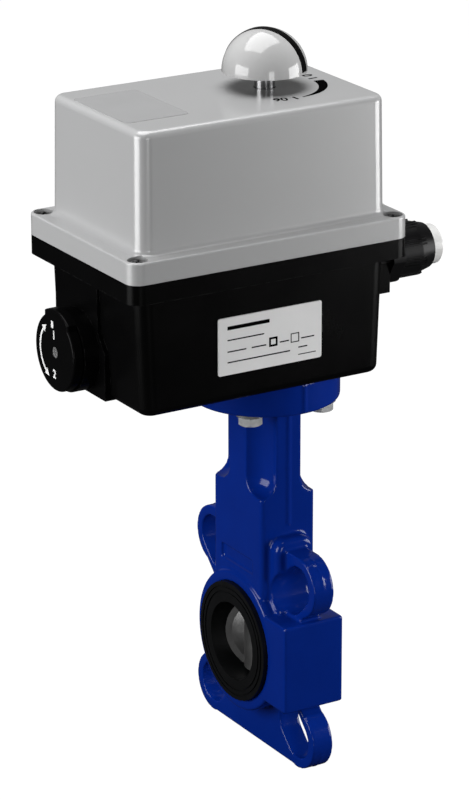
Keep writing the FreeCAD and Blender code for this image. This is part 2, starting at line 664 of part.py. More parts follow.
def rim_slab(z0, z1):
    """The flat rim that both halves of the casing share."""
    return tray((RIM_LEFT, RIM_RIGHT), (RIM_LEFT, RIM_RIGHT), RIM_HALF_WIDTH, RIM_HALF_WIDTH,
                RIM_CORNER, z0, z1)


def gasket_path(width, z0, z1):
    """A flat band that runs round the joint face, inside the screws."""
    bands = []
    for offset in (-width / 2, width / 2):
        left = RIM_LEFT + GASKET_INSET - offset
        right = RIM_RIGHT - GASKET_INSET + offset
        half = RIM_HALF_WIDTH - GASKET_INSET + 1.0 + offset
        bands.append(tray((left, right), (left, right), half, half, RIM_CORNER + offset, z0, z1))
    return bands[1].cut(bands[0])


def selector_pad():
    """The raised pad on the end wall that carries the knob's boss."""
    far = KNOB_AXIS_Y + PAD_REACH_FAR
    upper = KNOB_AXIS_Y - PAD_REACH_NEAR_HIGH
    lower = KNOB_AXIS_Y - PAD_REACH_NEAR_LOW
    shoulder = KNOB_AXIS_Z + PAD_SHOULDER_RISE
    points = [(far, FLANGE_TOP), (far, RIM_UNDERSIDE), (upper, RIM_UNDERSIDE), (upper, shoulder),
              (lower, shoulder - PAD_SHOULDER_DROP), (lower, FLANGE_TOP)]
    return prism([V(PAD_FACE, y, z) for y, z in points], V(INNER_LEFT - PAD_FACE, 0, 0))


def lower_housing():
    low = (HOUSING_LEFT + END_DRAFT, HOUSING_RIGHT - END_DRAFT)
    high = (HOUSING_LEFT, HOUSING_RIGHT)
    half = HOUSING_HALF_WIDTH
    shell = tray(low, high, half, half, HOUSING_CORNER, FLANGE_TOP, RIM_UNDERSIDE + 1)
    shell = shell.makeFillet(HOUSING_BOTTOM_ROUND, edges_at_height(shell, FLANGE_TOP))
    rim = rim_slab(RIM_UNDERSIDE, JOINT_HEIGHT)
    boss = rod_x(KNOB_BOSS_RADIUS, KNOB_BOSS_FACE, PAD_FACE + 1, KNOB_AXIS_Y, KNOB_AXIS_Z)
    inner_boss = rod_x(SELECTOR_RADIUS + SELECTOR_BOSS_WALL, HOUSING_LEFT, SELECTOR_INNER_FACE,
                       KNOB_AXIS_Y, KNOB_AXIS_Z)
    entry_half = GLAND_OFFSET + ENTRY_BOSS_MARGIN
    entry = box(INNER_RIGHT, RIM_RIGHT, -entry_half, entry_half, GLAND_HEIGHT - ENTRY_BOSS_BELOW, RIM_UNDERSIDE)
    spigot = rod(SPIGOT_RADIUS, SPIGOT_BOTTOM, FLANGE_TOP + 1)
    outside = joined(shell, rim, selector_pad(), boss, entry, spigot)

    wall = CASING_WALL
    inner_low = (INNER_LEFT + CAVITY_DRAFT, INNER_RIGHT - CAVITY_DRAFT)
    inner_high = (INNER_LEFT, INNER_RIGHT)
    cavity = tray(inner_low, inner_high, half - wall, half - wall, CAVITY_CORNER, FLOOR_TOP, JOINT_HEIGHT + 1)
    cavity = cavity.makeFillet(CAVITY_ROUND, edges_at_height(cavity, FLOOR_TOP))
    inside = [rod(SPIGOT_RADIUS, FLOOR_TOP - 1, HUB_TOP), inner_boss]
    for place in flange_bolt_places():
        inside.append(rod(BOLT_DIAMETER / 2 + BOLT_BOSS_WALL, FLOOR_TOP - 1, BOLT_BOSS_TOP, place))
    for place in PILLAR_PLACES + [FORK_GUIDE_PLACE]:
        inside.append(rod(PILLAR_RADIUS + 1, FLOOR_TOP - 1, PILLAR_FOOT, place))
    body = joined(outside.cut(cavity), *inside)

    body = body.cut(rod(SHAFT_LOWER_RADIUS + BUSH_WALL + FIT_GAP, SPIGOT_BOTTOM - 1, HUB_TOP + 1))
    body = body.cut(flange_bolt_holes(FLANGE_TOP - 1, BOLT_BOSS_TOP - 2, BOLT_DIAMETER / 2 + FIT_GAP))
    body = body.cut(rod_x(SELECTOR_RADIUS + RUN_GAP, KNOB_BOSS_FACE - 1, SELECTOR_INNER_FACE + 1,
                          KNOB_AXIS_Y, KNOB_AXIS_Z))
    body = body.cut(selector_seal_groove())
    nut_seat = GLAND_HEX_FLATS / math.sqrt(3) + FREE_GAP
    for y in gland_places():
        thread = rod_x(GLAND_THREAD_RADIUS + FIT_GAP, INNER_RIGHT - LOCKNUT_THICKNESS, RIM_RIGHT + 1, y, GLAND_HEIGHT)
        body = body.cut(thread)
        body = body.cut(rod_x(nut_seat, INNER_RIGHT - LOCKNUT_THICKNESS, INNER_RIGHT, y, GLAND_HEIGHT))
    for place in cover_screw_places():
        body = body.cut(rod(SCREW_RADIUS + FIT_GAP, RIM_UNDERSIDE + 1.4, JOINT_HEIGHT + 1, place))
    groove = gasket_path(GASKET_WIDTH + 2 * FIT_GAP, JOINT_HEIGHT - GASKET_GROOVE_DEPTH, JOINT_HEIGHT + 1)
    return body.cut(groove).removeSplitter()


def selector_seal_groove():
    return rod_x(SELECTOR_RADIUS + SELECTOR_SEAL_WALL, PAD_FACE - SELECTOR_SEAL_LENGTH, PAD_FACE,
                 KNOB_AXIS_Y, KNOB_AXIS_Z)


def top_cover():
    low = (COVER_LEFT, COVER_RIGHT)
    high = (COVER_LEFT + COVER_DRAFT, COVER_RIGHT - COVER_DRAFT)
    half = COVER_HALF_WIDTH
    shell = tray(low, high, half, half - COVER_DRAFT, COVER_CORNER, COVER_RIM_TOP, COVER_TOP)
    shell = shell.makeFillet(COVER_TOP_ROUND, edges_at_height(shell, COVER_TOP))
    rim = rim_slab(JOINT_HEIGHT, COVER_RIM_TOP)
    rim = rim.makeFillet(COVER_RIM_ROUND, edges_at_height(rim, COVER_RIM_TOP))
    cover = joined(shell, rim)
    foot = [e for e in edges_at_height(cover, COVER_RIM_TOP)
            if e.BoundBox.XMin > COVER_LEFT - 0.1 and e.BoundBox.XMax < COVER_RIGHT + 0.1
            and e.BoundBox.YMin > -half - 0.1 and e.BoundBox.YMax < half + 0.1]
    cover = cover.makeFillet(COVER_FOOT_ROUND, foot)
    recess_floor = COVER_RIM_TOP - SCREW_RECESS_DEPTH
    for place in cover_screw_places():
        cover = cover.cut(rod(SCREW_RECESS_RADIUS, recess_floor, COVER_RIM_TOP + COVER_FOOT_ROUND, place))
        cover = cover.cut(rod(SCREW_RADIUS + 0.3, JOINT_HEIGHT - 1, COVER_RIM_TOP, place))
    wall = CASING_WALL
    cavity = tray((low[0] + wall, low[1] - wall), (high[0] + wall, high[1] - wall), half - wall,
                  half - COVER_DRAFT - wall, COVER_CORNER - wall, JOINT_HEIGHT - 1, COVER_TOP - wall)
    boss_low = COVER_TOP - TOP_BOSS_DEPTH
    seal_top = COVER_TOP - TOP_LIP
    seal_low = seal_top - TOP_SEAL_HEIGHT - RUN_GAP
    cover = cover.cut(cavity).fuse(rod(TOP_BOSS_RADIUS, boss_low, COVER_TOP - wall + 1))
    cover = cover.cut(rod(SHAFT_UPPER_RADIUS + BUSH_WALL + FIT_GAP, boss_low - 1, seal_low))
    cover = cover.cut(rod(SHAFT_TOP_RADIUS + TOP_SEAL_WALL + FIT_GAP, seal_low - 1, seal_top))
    return cover.cut(rod(SHAFT_TOP_RADIUS + FREE_GAP, seal_top - 1, COVER_TOP + 1)).removeSplitter()


def cover_screws():
    screws = []
    seat = COVER_RIM_TOP - SCREW_RECESS_DEPTH
    top = seat + SCREW_HEAD_HEIGHT
    reach = SCREW_HEAD_RADIUS * 0.54
    for place in cover_screw_places():
        head = rod(SCREW_HEAD_RADIUS, seat, top, place)
        head = head.makeFillet(1.0, edges_at_height(head, top))
        screw = head.fuse(rod(SCREW_RADIUS, RIM_UNDERSIDE + 2, seat, place))
        for turn in (45, 135):
            bar = box(-reach, reach, -0.45, 0.45, top - 1.6, top + 1)
            bar.rotate(CENTRE, UP, turn)
            bar.translate(place)
            screw = screw.cut(bar)
        screws.append(screw.removeSplitter())
    return screws


def mounting_bolts():
    bolts = []
    head_top = FLANGE_UNDERSIDE - WASHER_THICKNESS
    head_low = head_top - BOLT_HEAD_HEIGHT
    flat = BOLT_HEAD_FLATS / 2
    for place in flange_bolt_places():
        head = hexagon(BOLT_HEAD_FLATS, head_low, head_top, place)
        crown = Part.makeCone(flat - 0.2, flat + BOLT_HEAD_HEIGHT, BOLT_HEAD_HEIGHT + 0.2,
                              V(place.x, place.y, head_low), UP)
        head = head.common(crown)
        bolts.append(joined(head, rod(BOLT_DIAMETER / 2, head_top, BOLT_BOSS_TOP - 4, place)))
    return bolts


def mounting_washers():
    bottom = FLANGE_UNDERSIDE - WASHER_THICKNESS
    hole = BOLT_DIAMETER / 2 + FIT_GAP
    return [tube(WASHER_RADIUS, hole, bottom, FLANGE_UNDERSIDE, place) for place in flange_bolt_places()]


def rating_plate():
    face = -HOUSING_HALF_WIDTH
    bottom = FLANGE_TOP + PLATE_RISE
    plate = box(PLATE_CENTRE_X - PLATE_LENGTH / 2, PLATE_CENTRE_X + PLATE_LENGTH / 2, face - PLATE_THICKNESS, face,
                bottom, bottom + PLATE_HEIGHT)
    corners = [e for e in plate.Edges if abs(e.Vertexes[0].Y - e.Vertexes[1].Y) > 0.1]
    return plate.makeFillet(1.0, corners)


def save_casing():
    save("lower_housing", lower_housing())
    save("top_cover", top_cover())
    gasket = gasket_path(GASKET_WIDTH, JOINT_HEIGHT - GASKET_GROOVE_DEPTH, JOINT_HEIGHT)
    save("cover_gasket", gasket)
    save("cover_screws", *cover_screws())
    save("mounting_bolts", *mounting_bolts())
    save("mounting_washers", *mounting_washers())
    save("rating_plate", rating_plate())


# Output shaft


def output_shaft():
    bottom = SPIGOT_BOTTOM + FREE_GAP
    gear_top = OUTPUT_GEAR_HEIGHT + OUTPUT_GEAR_FACE
    shaft = rod(SHAFT_LOWER_RADIUS, bottom, OUTPUT_GEAR_HEIGHT)
    shaft = shaft.fuse(rod(SHAFT_GEAR_SEAT_RADIUS, OUTPUT_GEAR_HEIGHT, gear_top + 1))
    shaft = shaft.fuse(rod(SHAFT_UPPER_RADIUS, gear_top, COVER_TOP - TOP_LIP - TOP_SEAL_HEIGHT - FREE_GAP))
    shaft = shaft.fuse(rod(SHAFT_TOP_RADIUS, COVER_TOP - TOP_BOSS_DEPTH, SHAFT_END))
    half = DRIVE_SOCKET / 2 + FIT_GAP
    socket = box(-half, half, -half, half, bottom - 1, bottom + DRIVE_SOCKET_DEPTH)
    socket.rotate(CENTRE, UP, -DISC_REST_ANGLE)
    return joined(shaft).cut(socket)


def drive_insert():
    """The sleeve that brings the shaft's socket down to the size of the stem's square."""
    bottom = SPIGOT_BOTTOM + FREE_GAP
    outer = DRIVE_SOCKET / 2
    inner = STEM_SQUARE / 2 + FIT_GAP
    top = bottom + DRIVE_SOCKET_DEPTH - FREE_GAP
    sleeve = box(-outer, outer, -outer, outer, bottom, top)
    sleeve = sleeve.cut(box(-inner, inner, -inner, inner, bottom - 1, top + 1))
    sleeve.rotate(CENTRE, UP, -DISC_REST_ANGLE)
    return sleeve


def indicator_dome():
    """The hollow half ball on top of the shaft, with a hub that grips the shaft."""
    centre = V(0, 0, DOME_RIM_HEIGHT)
    ball = Part.makeSphere(DOME_RADIUS, centre).common(rod(DOME_RADIUS, DOME_RIM_HEIGHT,
                                                           DOME_RIM_HEIGHT + DOME_RADIUS))
    shell = ball.cut(Part.makeSphere(DOME_RADIUS - DOME_WALL, centre))
    floor = rod(DOME_RADIUS, DOME_RIM_HEIGHT, DOME_RIM_HEIGHT + DOME_WALL)
    hub = rod(DOME_HUB_RADIUS, DOME_RIM_HEIGHT, SHAFT_END + DOME_WALL)
    dome = joined(shell, floor.common(ball), hub.common(ball))
    return dome.cut(rod(SHAFT_TOP_RADIUS, DOME_RIM_HEIGHT - 1, SHAFT_END)).removeSplitter()


def indicator_stripe():
    """The band over the dome that lies in line with the disc."""
    centre = V(0, 0, DOME_RIM_HEIGHT)
    skin = Part.makeSphere(DOME_RADIUS + STRIPE_PROUD, centre).cut(Part.makeSphere(DOME_RADIUS, centre))
    reach = DOME_RADIUS + 1
    half = STRIPE_WIDTH / 2
    band = box(-reach, reach, -half, half, DOME_RIM_HEIGHT + 1.0, DOME_RIM_HEIGHT + reach)
    stripe = skin.common(band)
    stripe.rotate(CENTRE, UP, -DISC_REST_ANGLE)
    return stripe


def roller_place():
    return V(SWITCH_LENGTH / 2 - ROLLER_RADIUS - 1.6, SWITCH_FRONT - ROLLER_RADIUS - 0.9, 0)


def limit_cams():
    """Two lobed discs on the shaft; each meets its switch at one end of the quarter turn."""
    cams = []
    at_roller = math.degrees(math.atan2(roller_place().y, roller_place().x))
    half = CAM_LOBE_WIDTH / 2
    for level, turn in enumerate((at_roller - DISC_REST_ANGLE, at_roller + 90 - DISC_REST_ANGLE)):
        z0 = UPPER_PLATE_TOP + SWITCH_RISE + level * SWITCH_PITCH + (SWITCH_HEIGHT - CAM_THICKNESS) / 2
        z1 = z0 + CAM_THICKNESS
        lobe = rod(CAM_LOBE_RADIUS, z0, z1).common(box(0, CAM_LOBE_RADIUS, -half, half, z0, z1))
        lobe.rotate(CENTRE, UP, turn)
        cams.append(joined(rod(CAM_RADIUS, z0, z1), lobe).cut(rod(SHAFT_UPPER_RADIUS, z0 - 1, z1 + 1)))
    return cams


# Gear train


def involute(angle):
    return math.tan(angle) - angle


def gear(module, teeth, addendum, root_depth, z0, z1, axis, turn):
    """A straight-toothed gear; one of its teeth points in the direction of turn, in radians."""
    pitch = module * teeth / 2
    base = pitch * math.cos(PRESSURE_ANGLE)
    tip = pitch + addendum * module
    root = pitch - root_depth * module
    half_tooth = math.pi / (2 * teeth) - TOOTH_THINNING / (2 * teeth)
    start = max(base, root)
    flank = [(start + (tip - start) * k / 2) for k in range(3)]
    points = []
    for tooth in range(teeth):
        middle = turn + tooth * 2 * math.pi / teeth
        offsets = []
        for radius in flank:
            at = math.acos(min(1.0, base / radius))
            offsets.append(half_tooth + involute(PRESSURE_ANGLE) - involute(at))
        rising = list(zip(flank, [-o for o in offsets]))
        falling = list(zip(reversed(flank), reversed(offsets)))
        if root < base:
            rising.insert(0, (root, -offsets[0]))
            falling.append((root, offsets[0]))
        for radius, offset in rising + falling:
            angle = middle + offset
            points.append(V(axis.x + radius * math.cos(angle), axis.y + radius * math.sin(angle), z0))
    return prism(points, V(0, 0, z1 - z0))


def meshing_turn(direction, teeth):
    """The turn of a gear whose gap faces back along the line from its partner."""
    return direction + math.pi + math.pi / teeth


def wheel(module, teeth, z0, z1, axis, turn):
    return gear(module, teeth, WHEEL_ADDENDUM, WHEEL_ROOT_DEPTH, z0, z1, axis, turn)


def pinion(module, z0, z1, axis, turn):
    return gear(module, PINION_TEETH, PINION_ADDENDUM, PINION_ROOT_DEPTH, z0, z1, axis, turn)


def output_gear():
    """The large wheel on the shaft, thinned between its hub and its rim."""
    z0 = OUTPUT_GEAR_HEIGHT
    z1 = z0 + OUTPUT_GEAR_FACE
    shape = wheel(OUTPUT_MODULE, OUTPUT_TEETH, z0, z1, CENTRE, SECOND_DIRECTION)
    depth = (OUTPUT_GEAR_FACE - OUTPUT_GEAR_WEB) / 2
    outer = OUTPUT_MODULE * OUTPUT_TEETH / 2 - 4
    inner = SHAFT_GEAR_SEAT_RADIUS + 3.5
    for low in (z0, z1 - depth):
        shape = shape.cut(tube(outer, inner, low, low + depth))
    return shape.cut(rod(SHAFT_GEAR_SEAT_RADIUS, z0 - 1, z1 + 1))


def second_gear():
    """The compound gear that the output wheel meshes with."""
    low = OUTPUT_GEAR_HEIGHT - 1
    top = SECOND_WHEEL_TOP
    small = pinion(OUTPUT_MODULE, low, SECOND_WHEEL_HEIGHT, SECOND_AXIS,
                   meshing_turn(SECOND_DIRECTION, PINION_TEETH))
    large = wheel(SECOND_MODULE, WHEEL_TEETH, SECOND_WHEEL_HEIGHT, top, SECOND_AXIS, CLUTCH_DIRECTION)
    return small.fuse(large).cut(rod(AXLE_RADIUS + RUN_GAP, low - 1, top + 1, SECOND_AXIS))


def clutch_gear():
    """The compound gear that the selector lifts out of the motor's pinion."""
    low = SECOND_WHEEL_HEIGHT - FORK_THROW - 1
    small = pinion(SECOND_MODULE, low, SECOND_WHEEL_TOP, CLUTCH_AXIS, meshing_turn(CLUTCH_DIRECTION, PINION_TEETH))
    hub = rod(CLUTCH_HUB_RADIUS, SECOND_WHEEL_TOP, CLUTCH_WHEEL_HEIGHT, CLUTCH_AXIS)
    large = wheel(CLUTCH_MODULE, WHEEL_TEETH, CLUTCH_WHEEL_HEIGHT, CLUTCH_WHEEL_TOP, CLUTCH_AXIS, MOTOR_DIRECTION)
    shape = small.fuse(hub).fuse(large)
    return shape.cut(rod(AXLE_RADIUS + RUN_GAP, low - 1, CLUTCH_WHEEL_TOP + 1, CLUTCH_AXIS))


def gear_plate(left, height, holes):
    """A steel plate with rounded corners; holes is a list of (place, radius)."""
    top = height + GEAR_PLATE_THICKNESS
    ends = (left, GEAR_PLATE_RIGHT)
    plate = tray(ends, ends, GEAR_PLATE_HALF, GEAR_PLATE_HALF, GEAR_PLATE_CORNER, height, top)
    for place, radius in holes:
        plate = plate.cut(rod(radius, height - 1, top + 1, place))
    return plate


def lower_gear_plate():
    holes = [(CENTRE, SHAFT_LOWER_RADIUS + FREE_GAP), (FORK_GUIDE_PLACE, AXLE_RADIUS + FREE_GAP)]
    holes += [(axis, AXLE_RADIUS) for axis in (SECOND_AXIS, CLUTCH_AXIS)]
    holes += [(place, PILLAR_NECK_RADIUS) for place in PILLAR_PLACES]
    return gear_plate(GEAR_PLATE_LEFT, LOWER_PLATE_HEIGHT, holes)


def upper_gear_plate():
    holes = [(CENTRE, SHAFT_UPPER_RADIUS + RUN_GAP), (MOTOR_AXIS, AXLE_RADIUS + 2)]
    holes += [(axis, AXLE_RADIUS) for axis in (SECOND_AXIS, CLUTCH_AXIS, FORK_GUIDE_PLACE)]
    holes += [(place, PILLAR_NECK_RADIUS) for place in PILLAR_PLACES]
    return gear_plate(DECK_LEFT, UPPER_PLATE_HEIGHT, holes)


def pillars(z0, z1, neck_end):
    """Turned spacers; a thinner neck runs on through the plate above."""
    found = []
    for place in PILLAR_PLACES:
        found.append(rod(PILLAR_RADIUS, z0, z1, place).fuse(rod(PILLAR_NECK_RADIUS, z1, neck_end, place)))
    return found


def plate_screws():
    screws = []
    top = UPPER_PLATE_TOP + PLATE_SCREW_HEIGHT
    for place in PILLAR_PLACES:
        head = rod(PLATE_SCREW_RADIUS, UPPER_PLATE_TOP, top, place)
        head = head.makeFillet(0.8, edges_at_height(head, top))
        groove = box(place.x - 4, place.x + 4, place.y - 0.5, place.y + 0.5, top - 1, top + 1)
        screws.append(head.cut(groove))
    return screws


def save_drive():
    save("output_shaft", output_shaft())
    save("drive_insert", drive_insert())
    save("output_gear", output_gear())
    bush_outer = SHAFT_LOWER_RADIUS + BUSH_WALL
    bush_inner = SHAFT_LOWER_RADIUS + RUN_GAP
    seal_low = SPIGOT_BOTTOM + FREE_GAP
    seal_top = seal_low + OUTPUT_SEAL_HEIGHT
    save("output_bush", tube(bush_outer, bush_inner, seal_top, HUB_TOP))
    save("output_seal", tube(bush_outer, bush_inner, seal_low, seal_top))
    top_seal_high = COVER_TOP - TOP_LIP
    top_seal_low = top_seal_high - TOP_SEAL_HEIGHT
    top_bush = tube(SHAFT_UPPER_RADIUS + BUSH_WALL, SHAFT_UPPER_RADIUS + RUN_GAP, COVER_TOP - TOP_BOSS_DEPTH,
                    top_seal_low - RUN_GAP)
    save("top_bush", top_bush)
    top_seal = tube(SHAFT_TOP_RADIUS + TOP_SEAL_WALL, SHAFT_TOP_RADIUS + RUN_GAP, top_seal_low, top_seal_high)
    save("top_seal", top_seal)
    save("indicator_dome", indicator_dome())
    save("indicator_stripe", indicator_stripe())
    save("limit_cams", *limit_cams())
    save("second_gear", second_gear())
    save("clutch_gear", clutch_gear())
    save("lower_gear_plate", lower_gear_plate())
    save("upper_gear_plate", upper_gear_plate())
    save("lower_pillars", *pillars(PILLAR_FOOT, LOWER_PLATE_HEIGHT, LOWER_PLATE_TOP))
    save("upper_pillars", *pillars(LOWER_PLATE_TOP, UPPER_PLATE_HEIGHT, UPPER_PLATE_TOP))
    save("plate_screws", *plate_screws())
    save("second_axle", rod(AXLE_RADIUS, LOWER_PLATE_HEIGHT, UPPER_PLATE_TOP, SECOND_AXIS))
    save("clutch_axle", rod(AXLE_RADIUS, LOWER_PLATE_HEIGHT, UPPER_PLATE_TOP, CLUTCH_AXIS))


# Motor


def motor_armature():
    """The wound rotor, with its three poles parted by slots."""
    low = UPPER_PLATE_TOP + ARMATURE_RISE
    top = low + ARMATURE_LENGTH
    armature = tube(ARMATURE_RADIUS, MOTOR_SHAFT_RADIUS, low, top, MOTOR_AXIS)
    for turn in (0, 120, 240):
        gap = box(ARMATURE_RADIUS / 2, ARMATURE_RADIUS + 1, -0.9, 0.9, low - 1, top + 1)
        gap.rotate(CENTRE, UP, turn)
        gap.translate(MOTOR_AXIS)
        armature = armature.cut(gap)
    return armature


def motor_can(base, top):
    can = rod(MOTOR_RADIUS, base, top, MOTOR_AXIS)
    can = can.makeFillet(1.0, edges_at_height(can, base))
    can = can.cut(rod(MOTOR_RADIUS - MOTOR_WALL, base + MOTOR_WALL, top + 1, MOTOR_AXIS))
    return can.cut(rod(MOTOR_SHAFT_RADIUS + RUN_GAP, base - 1, base + MOTOR_WALL + 1, MOTOR_AXIS))


def motor_end_cap(top):
    """The insulating cap with its bearing boss and two solder tags."""
    cap = rod(MOTOR_RADIUS - MOTOR_WALL, top - MOTOR_CAP_THICKNESS, top, MOTOR_AXIS)
    cap = cap.fuse(rod(MOTOR_CAP_BOSS_RADIUS, top, top + MOTOR_CAP_THICKNESS, MOTOR_AXIS))
    cap = cap.cut(rod(MOTOR_SHAFT_RADIUS + RUN_GAP, top - MOTOR_CAP_THICKNESS - 1, top + 1, MOTOR_AXIS))
    half_thickness = MOTOR_TAG_THICKNESS / 2
    half_width = MOTOR_TAG_WIDTH / 2
    for side in (-1, 1):
        tag = MOTOR_AXIS + V(side * (MOTOR_RADIUS - MOTOR_TAG_INSET), 0, 0)
        cap = cap.fuse(box(tag.x - half_thickness, tag.x + half_thickness,
                           tag.y - half_width, tag.y + half_width, top, top + MOTOR_TAG_HEIGHT))
    return cap.removeSplitter()


def save_motor():
    base = UPPER_PLATE_TOP
    top = base + MOTOR_LENGTH
    pinion_low = CLUTCH_WHEEL_HEIGHT - FREE_GAP
    teeth = pinion(CLUTCH_MODULE, pinion_low, CLUTCH_WHEEL_TOP, MOTOR_AXIS,
                   meshing_turn(MOTOR_DIRECTION, PINION_TEETH))
    teeth = teeth.cut(rod(MOTOR_SHAFT_RADIUS, pinion_low - 1, CLUTCH_WHEEL_TOP + 1, MOTOR_AXIS))
    save("motor_pinion", teeth)
    save("motor_shaft", rod(MOTOR_SHAFT_RADIUS, pinion_low - FREE_GAP, top - MOTOR_CAP_THICKNESS + 1, MOTOR_AXIS))
    save("motor_armature", motor_armature())
    save("motor_can", motor_can(base, top))
    save("motor_end_cap", motor_end_cap(top))


# Selector


def selector_knob():
    """A flat round knob with a broad nose at its index mark."""
    knob = rod_x(KNOB_RADIUS, KNOB_FACE, KNOB_BACK, KNOB_AXIS_Y, KNOB_AXIS_Z)
    nose = rod_x(KNOB_NOSE_RADIUS, KNOB_FACE, KNOB_BACK, KNOB_AXIS_Y, KNOB_AXIS_Z)
    reach = KNOB_NOSE_RADIUS
    wedge = box(KNOB_FACE, KNOB_BACK, -KNOB_NOSE_START * reach, KNOB_NOSE_END * reach, 0.6 * reach, reach + 1)
    wedge.translate(V(0, KNOB_AXIS_Y, KNOB_AXIS_Z))
    knob = joined(knob, nose.common(wedge))
    face_edges = [e for e in knob.Edges if all(abs(v.X - KNOB_FACE) < 1e-6 for v in e.Vertexes)]
    knob = knob.makeFillet(KNOB_EDGE_ROUND, face_edges)
    shaft_end = KNOB_FACE + KNOB_SCREW_DEPTH
    screw_hole = rod_x(SELECTOR_RADIUS - 1.4, KNOB_FACE - 1, shaft_end, KNOB_AXIS_Y, KNOB_AXIS_Z)
    bore = rod_x(SELECTOR_RADIUS - 1, shaft_end, KNOB_BACK + 1, KNOB_AXIS_Y, KNOB_AXIS_Z)
    return knob.cut(screw_hole).cut(bore)


def eccentric(radius, x0, x1):
    """A cylinder on the selector shaft's off-centre pin, at its rest place, 45 degrees low."""
    offset = FORK_THROW * math.sqrt(0.5)
    return rod_x(radius, x0, x1, KNOB_AXIS_Y + offset, KNOB_AXIS_Z - offset)


def selector_shaft():
    """The shaft behind the knob; its off-centre pin works the fork."""
    start = KNOB_FACE + KNOB_SCREW_DEPTH
    web_start = SELECTOR_INNER_FACE + FREE_GAP
    web_end = FORK_FACE - FREE_GAP
    shaft = rod_x(SELECTOR_RADIUS - 1, start, KNOB_BOSS_FACE, KNOB_AXIS_Y, KNOB_AXIS_Z)
    shaft = shaft.fuse(rod_x(SELECTOR_RADIUS, KNOB_BOSS_FACE, web_start, KNOB_AXIS_Y, KNOB_AXIS_Z))
    web = rod_x(FORK_THROW + FORK_PIN_RADIUS + 1, web_start, web_end, KNOB_AXIS_Y, KNOB_AXIS_Z)
    pin = eccentric(FORK_PIN_RADIUS, web_end, FORK_FACE + FORK_THICKNESS + 1)
    slot_cut = box(start - 1, start + 0.8, -SELECTOR_RADIUS, SELECTOR_RADIUS, -0.4, 0.4)
    slot_cut.translate(V(0, KNOB_AXIS_Y, KNOB_AXIS_Z))
    return joined(shaft, web, pin).cut(slot_cut)


def selector_spring():
    """The return spring, wound round the inner end of the boss, one turn after another."""
    radius = SELECTOR_RADIUS + SELECTOR_BOSS_WALL + SPRING_WIRE / 2 + FREE_GAP
    turns = []
    for k in range(SPRING_TURNS):
        x = SELECTOR_INNER_FACE - SPRING_WIRE / 2 - k * (SPRING_WIRE + RUN_GAP)
        turns.append(Part.makeTorus(radius, SPRING_WIRE / 2, V(x, KNOB_AXIS_Y, KNOB_AXIS_Z), ALONG))
    return turns


def declutch_fork():
    """The bent plate that the selector's pin lifts; its two prongs hold the clutch gear's hub."""
    x0 = FORK_FACE
    x1 = x0 + FORK_THICKNESS
    offset = FORK_THROW * math.sqrt(0.5)
    half_slot = FORK_PIN_RADIUS + FORK_SLOT_GAP
    half_hub = CLUTCH_HUB_RADIUS + FREE_GAP / 2
    guide_edge = FORK_GUIDE_PLACE.y + AXLE_RADIUS + 2
    low = KNOB_AXIS_Z - offset - half_slot - FORK_EDGE
    upright = box(x0, x1, KNOB_AXIS_Y - half_slot - FORK_EDGE, guide_edge, low, FORK_ARM_TOP)
    prong_reach = half_hub + FORK_PRONG
    arm = box(x0, CLUTCH_AXIS.x + half_hub, CLUTCH_AXIS.y - prong_reach, CLUTCH_AXIS.y + prong_reach,
              FORK_ARM_HEIGHT, FORK_ARM_TOP)
    tail = box(x0, FORK_GUIDE_PLACE.x + AXLE_RADIUS + FORK_PRONG, CLUTCH_AXIS.y, guide_edge,
               FORK_ARM_HEIGHT, FORK_ARM_TOP)
    fork = joined(upright, arm, tail)
    bottom = FORK_ARM_HEIGHT - 1
    top = FORK_ARM_TOP + 1
    fork = fork.cut(rod(half_hub, bottom, top, CLUTCH_AXIS))
    fork = fork.cut(box(CLUTCH_AXIS.x, CLUTCH_AXIS.x + prong_reach, CLUTCH_AXIS.y - half_hub,
                        CLUTCH_AXIS.y + half_hub, bottom, top))
    fork = fork.cut(rod(AXLE_RADIUS + RUN_GAP, bottom, top, FORK_GUIDE_PLACE))
    return fork.cut(box(x0 - 1, x1 + 1, KNOB_AXIS_Y + offset - half_slot, KNOB_AXIS_Y + FORK_THROW + half_slot,
                        KNOB_AXIS_Z - offset - half_slot, KNOB_AXIS_Z - offset + half_slot))


def save_selector():
    save("selector_knob", selector_knob())
    save("selector_shaft", selector_shaft())
    save("selector_seal", selector_seal_groove().cut(
        rod_x(SELECTOR_RADIUS + RUN_GAP, KNOB_BOSS_FACE, INNER_LEFT, KNOB_AXIS_Y, KNOB_AXIS_Z)))
    save("selector_spring", *selector_spring())
    save("declutch_fork", declutch_fork())
    save("fork_guide_pin", rod(AXLE_RADIUS, PILLAR_FOOT, UPPER_PLATE_TOP, FORK_GUIDE_PLACE))


# Electrical parts


def limit_switches():
    """Two microswitches, one beside each cam, each with its lever and roller."""
    switches = []
    y0 = SWITCH_FRONT
    half = SWITCH_LENGTH / 2
    roller = roller_place()
    for level in range(2):
        z0 = UPPER_PLATE_TOP + SWITCH_RISE + level * SWITCH_PITCH
        middle = z0 + SWITCH_HEIGHT / 2
        low = middle - LEVER_HEIGHT / 2
        high = middle + LEVER_HEIGHT / 2
        case = box(-half, half, y0, y0 + SWITCH_DEPTH, z0, z0 + SWITCH_HEIGHT)
        back = y0 - 0.9 + ROLLER_RADIUS / 2 - LEVER_THICKNESS
        lever = box(-half + 1, roller.x, back - LEVER_THICKNESS, back, low, high)
        root = box(-half + 1, -half + 2, back - LEVER_THICKNESS, y0, low, high)
        button = box(-half / 3, -half / 3 + 1, back - LEVER_THICKNESS, y0, middle - 1, middle + 1)
        wheel_shape = rod(ROLLER_RADIUS, low, high, roller)
        switches.append(joined(case, root, lever, button, wheel_shape))
    return switches


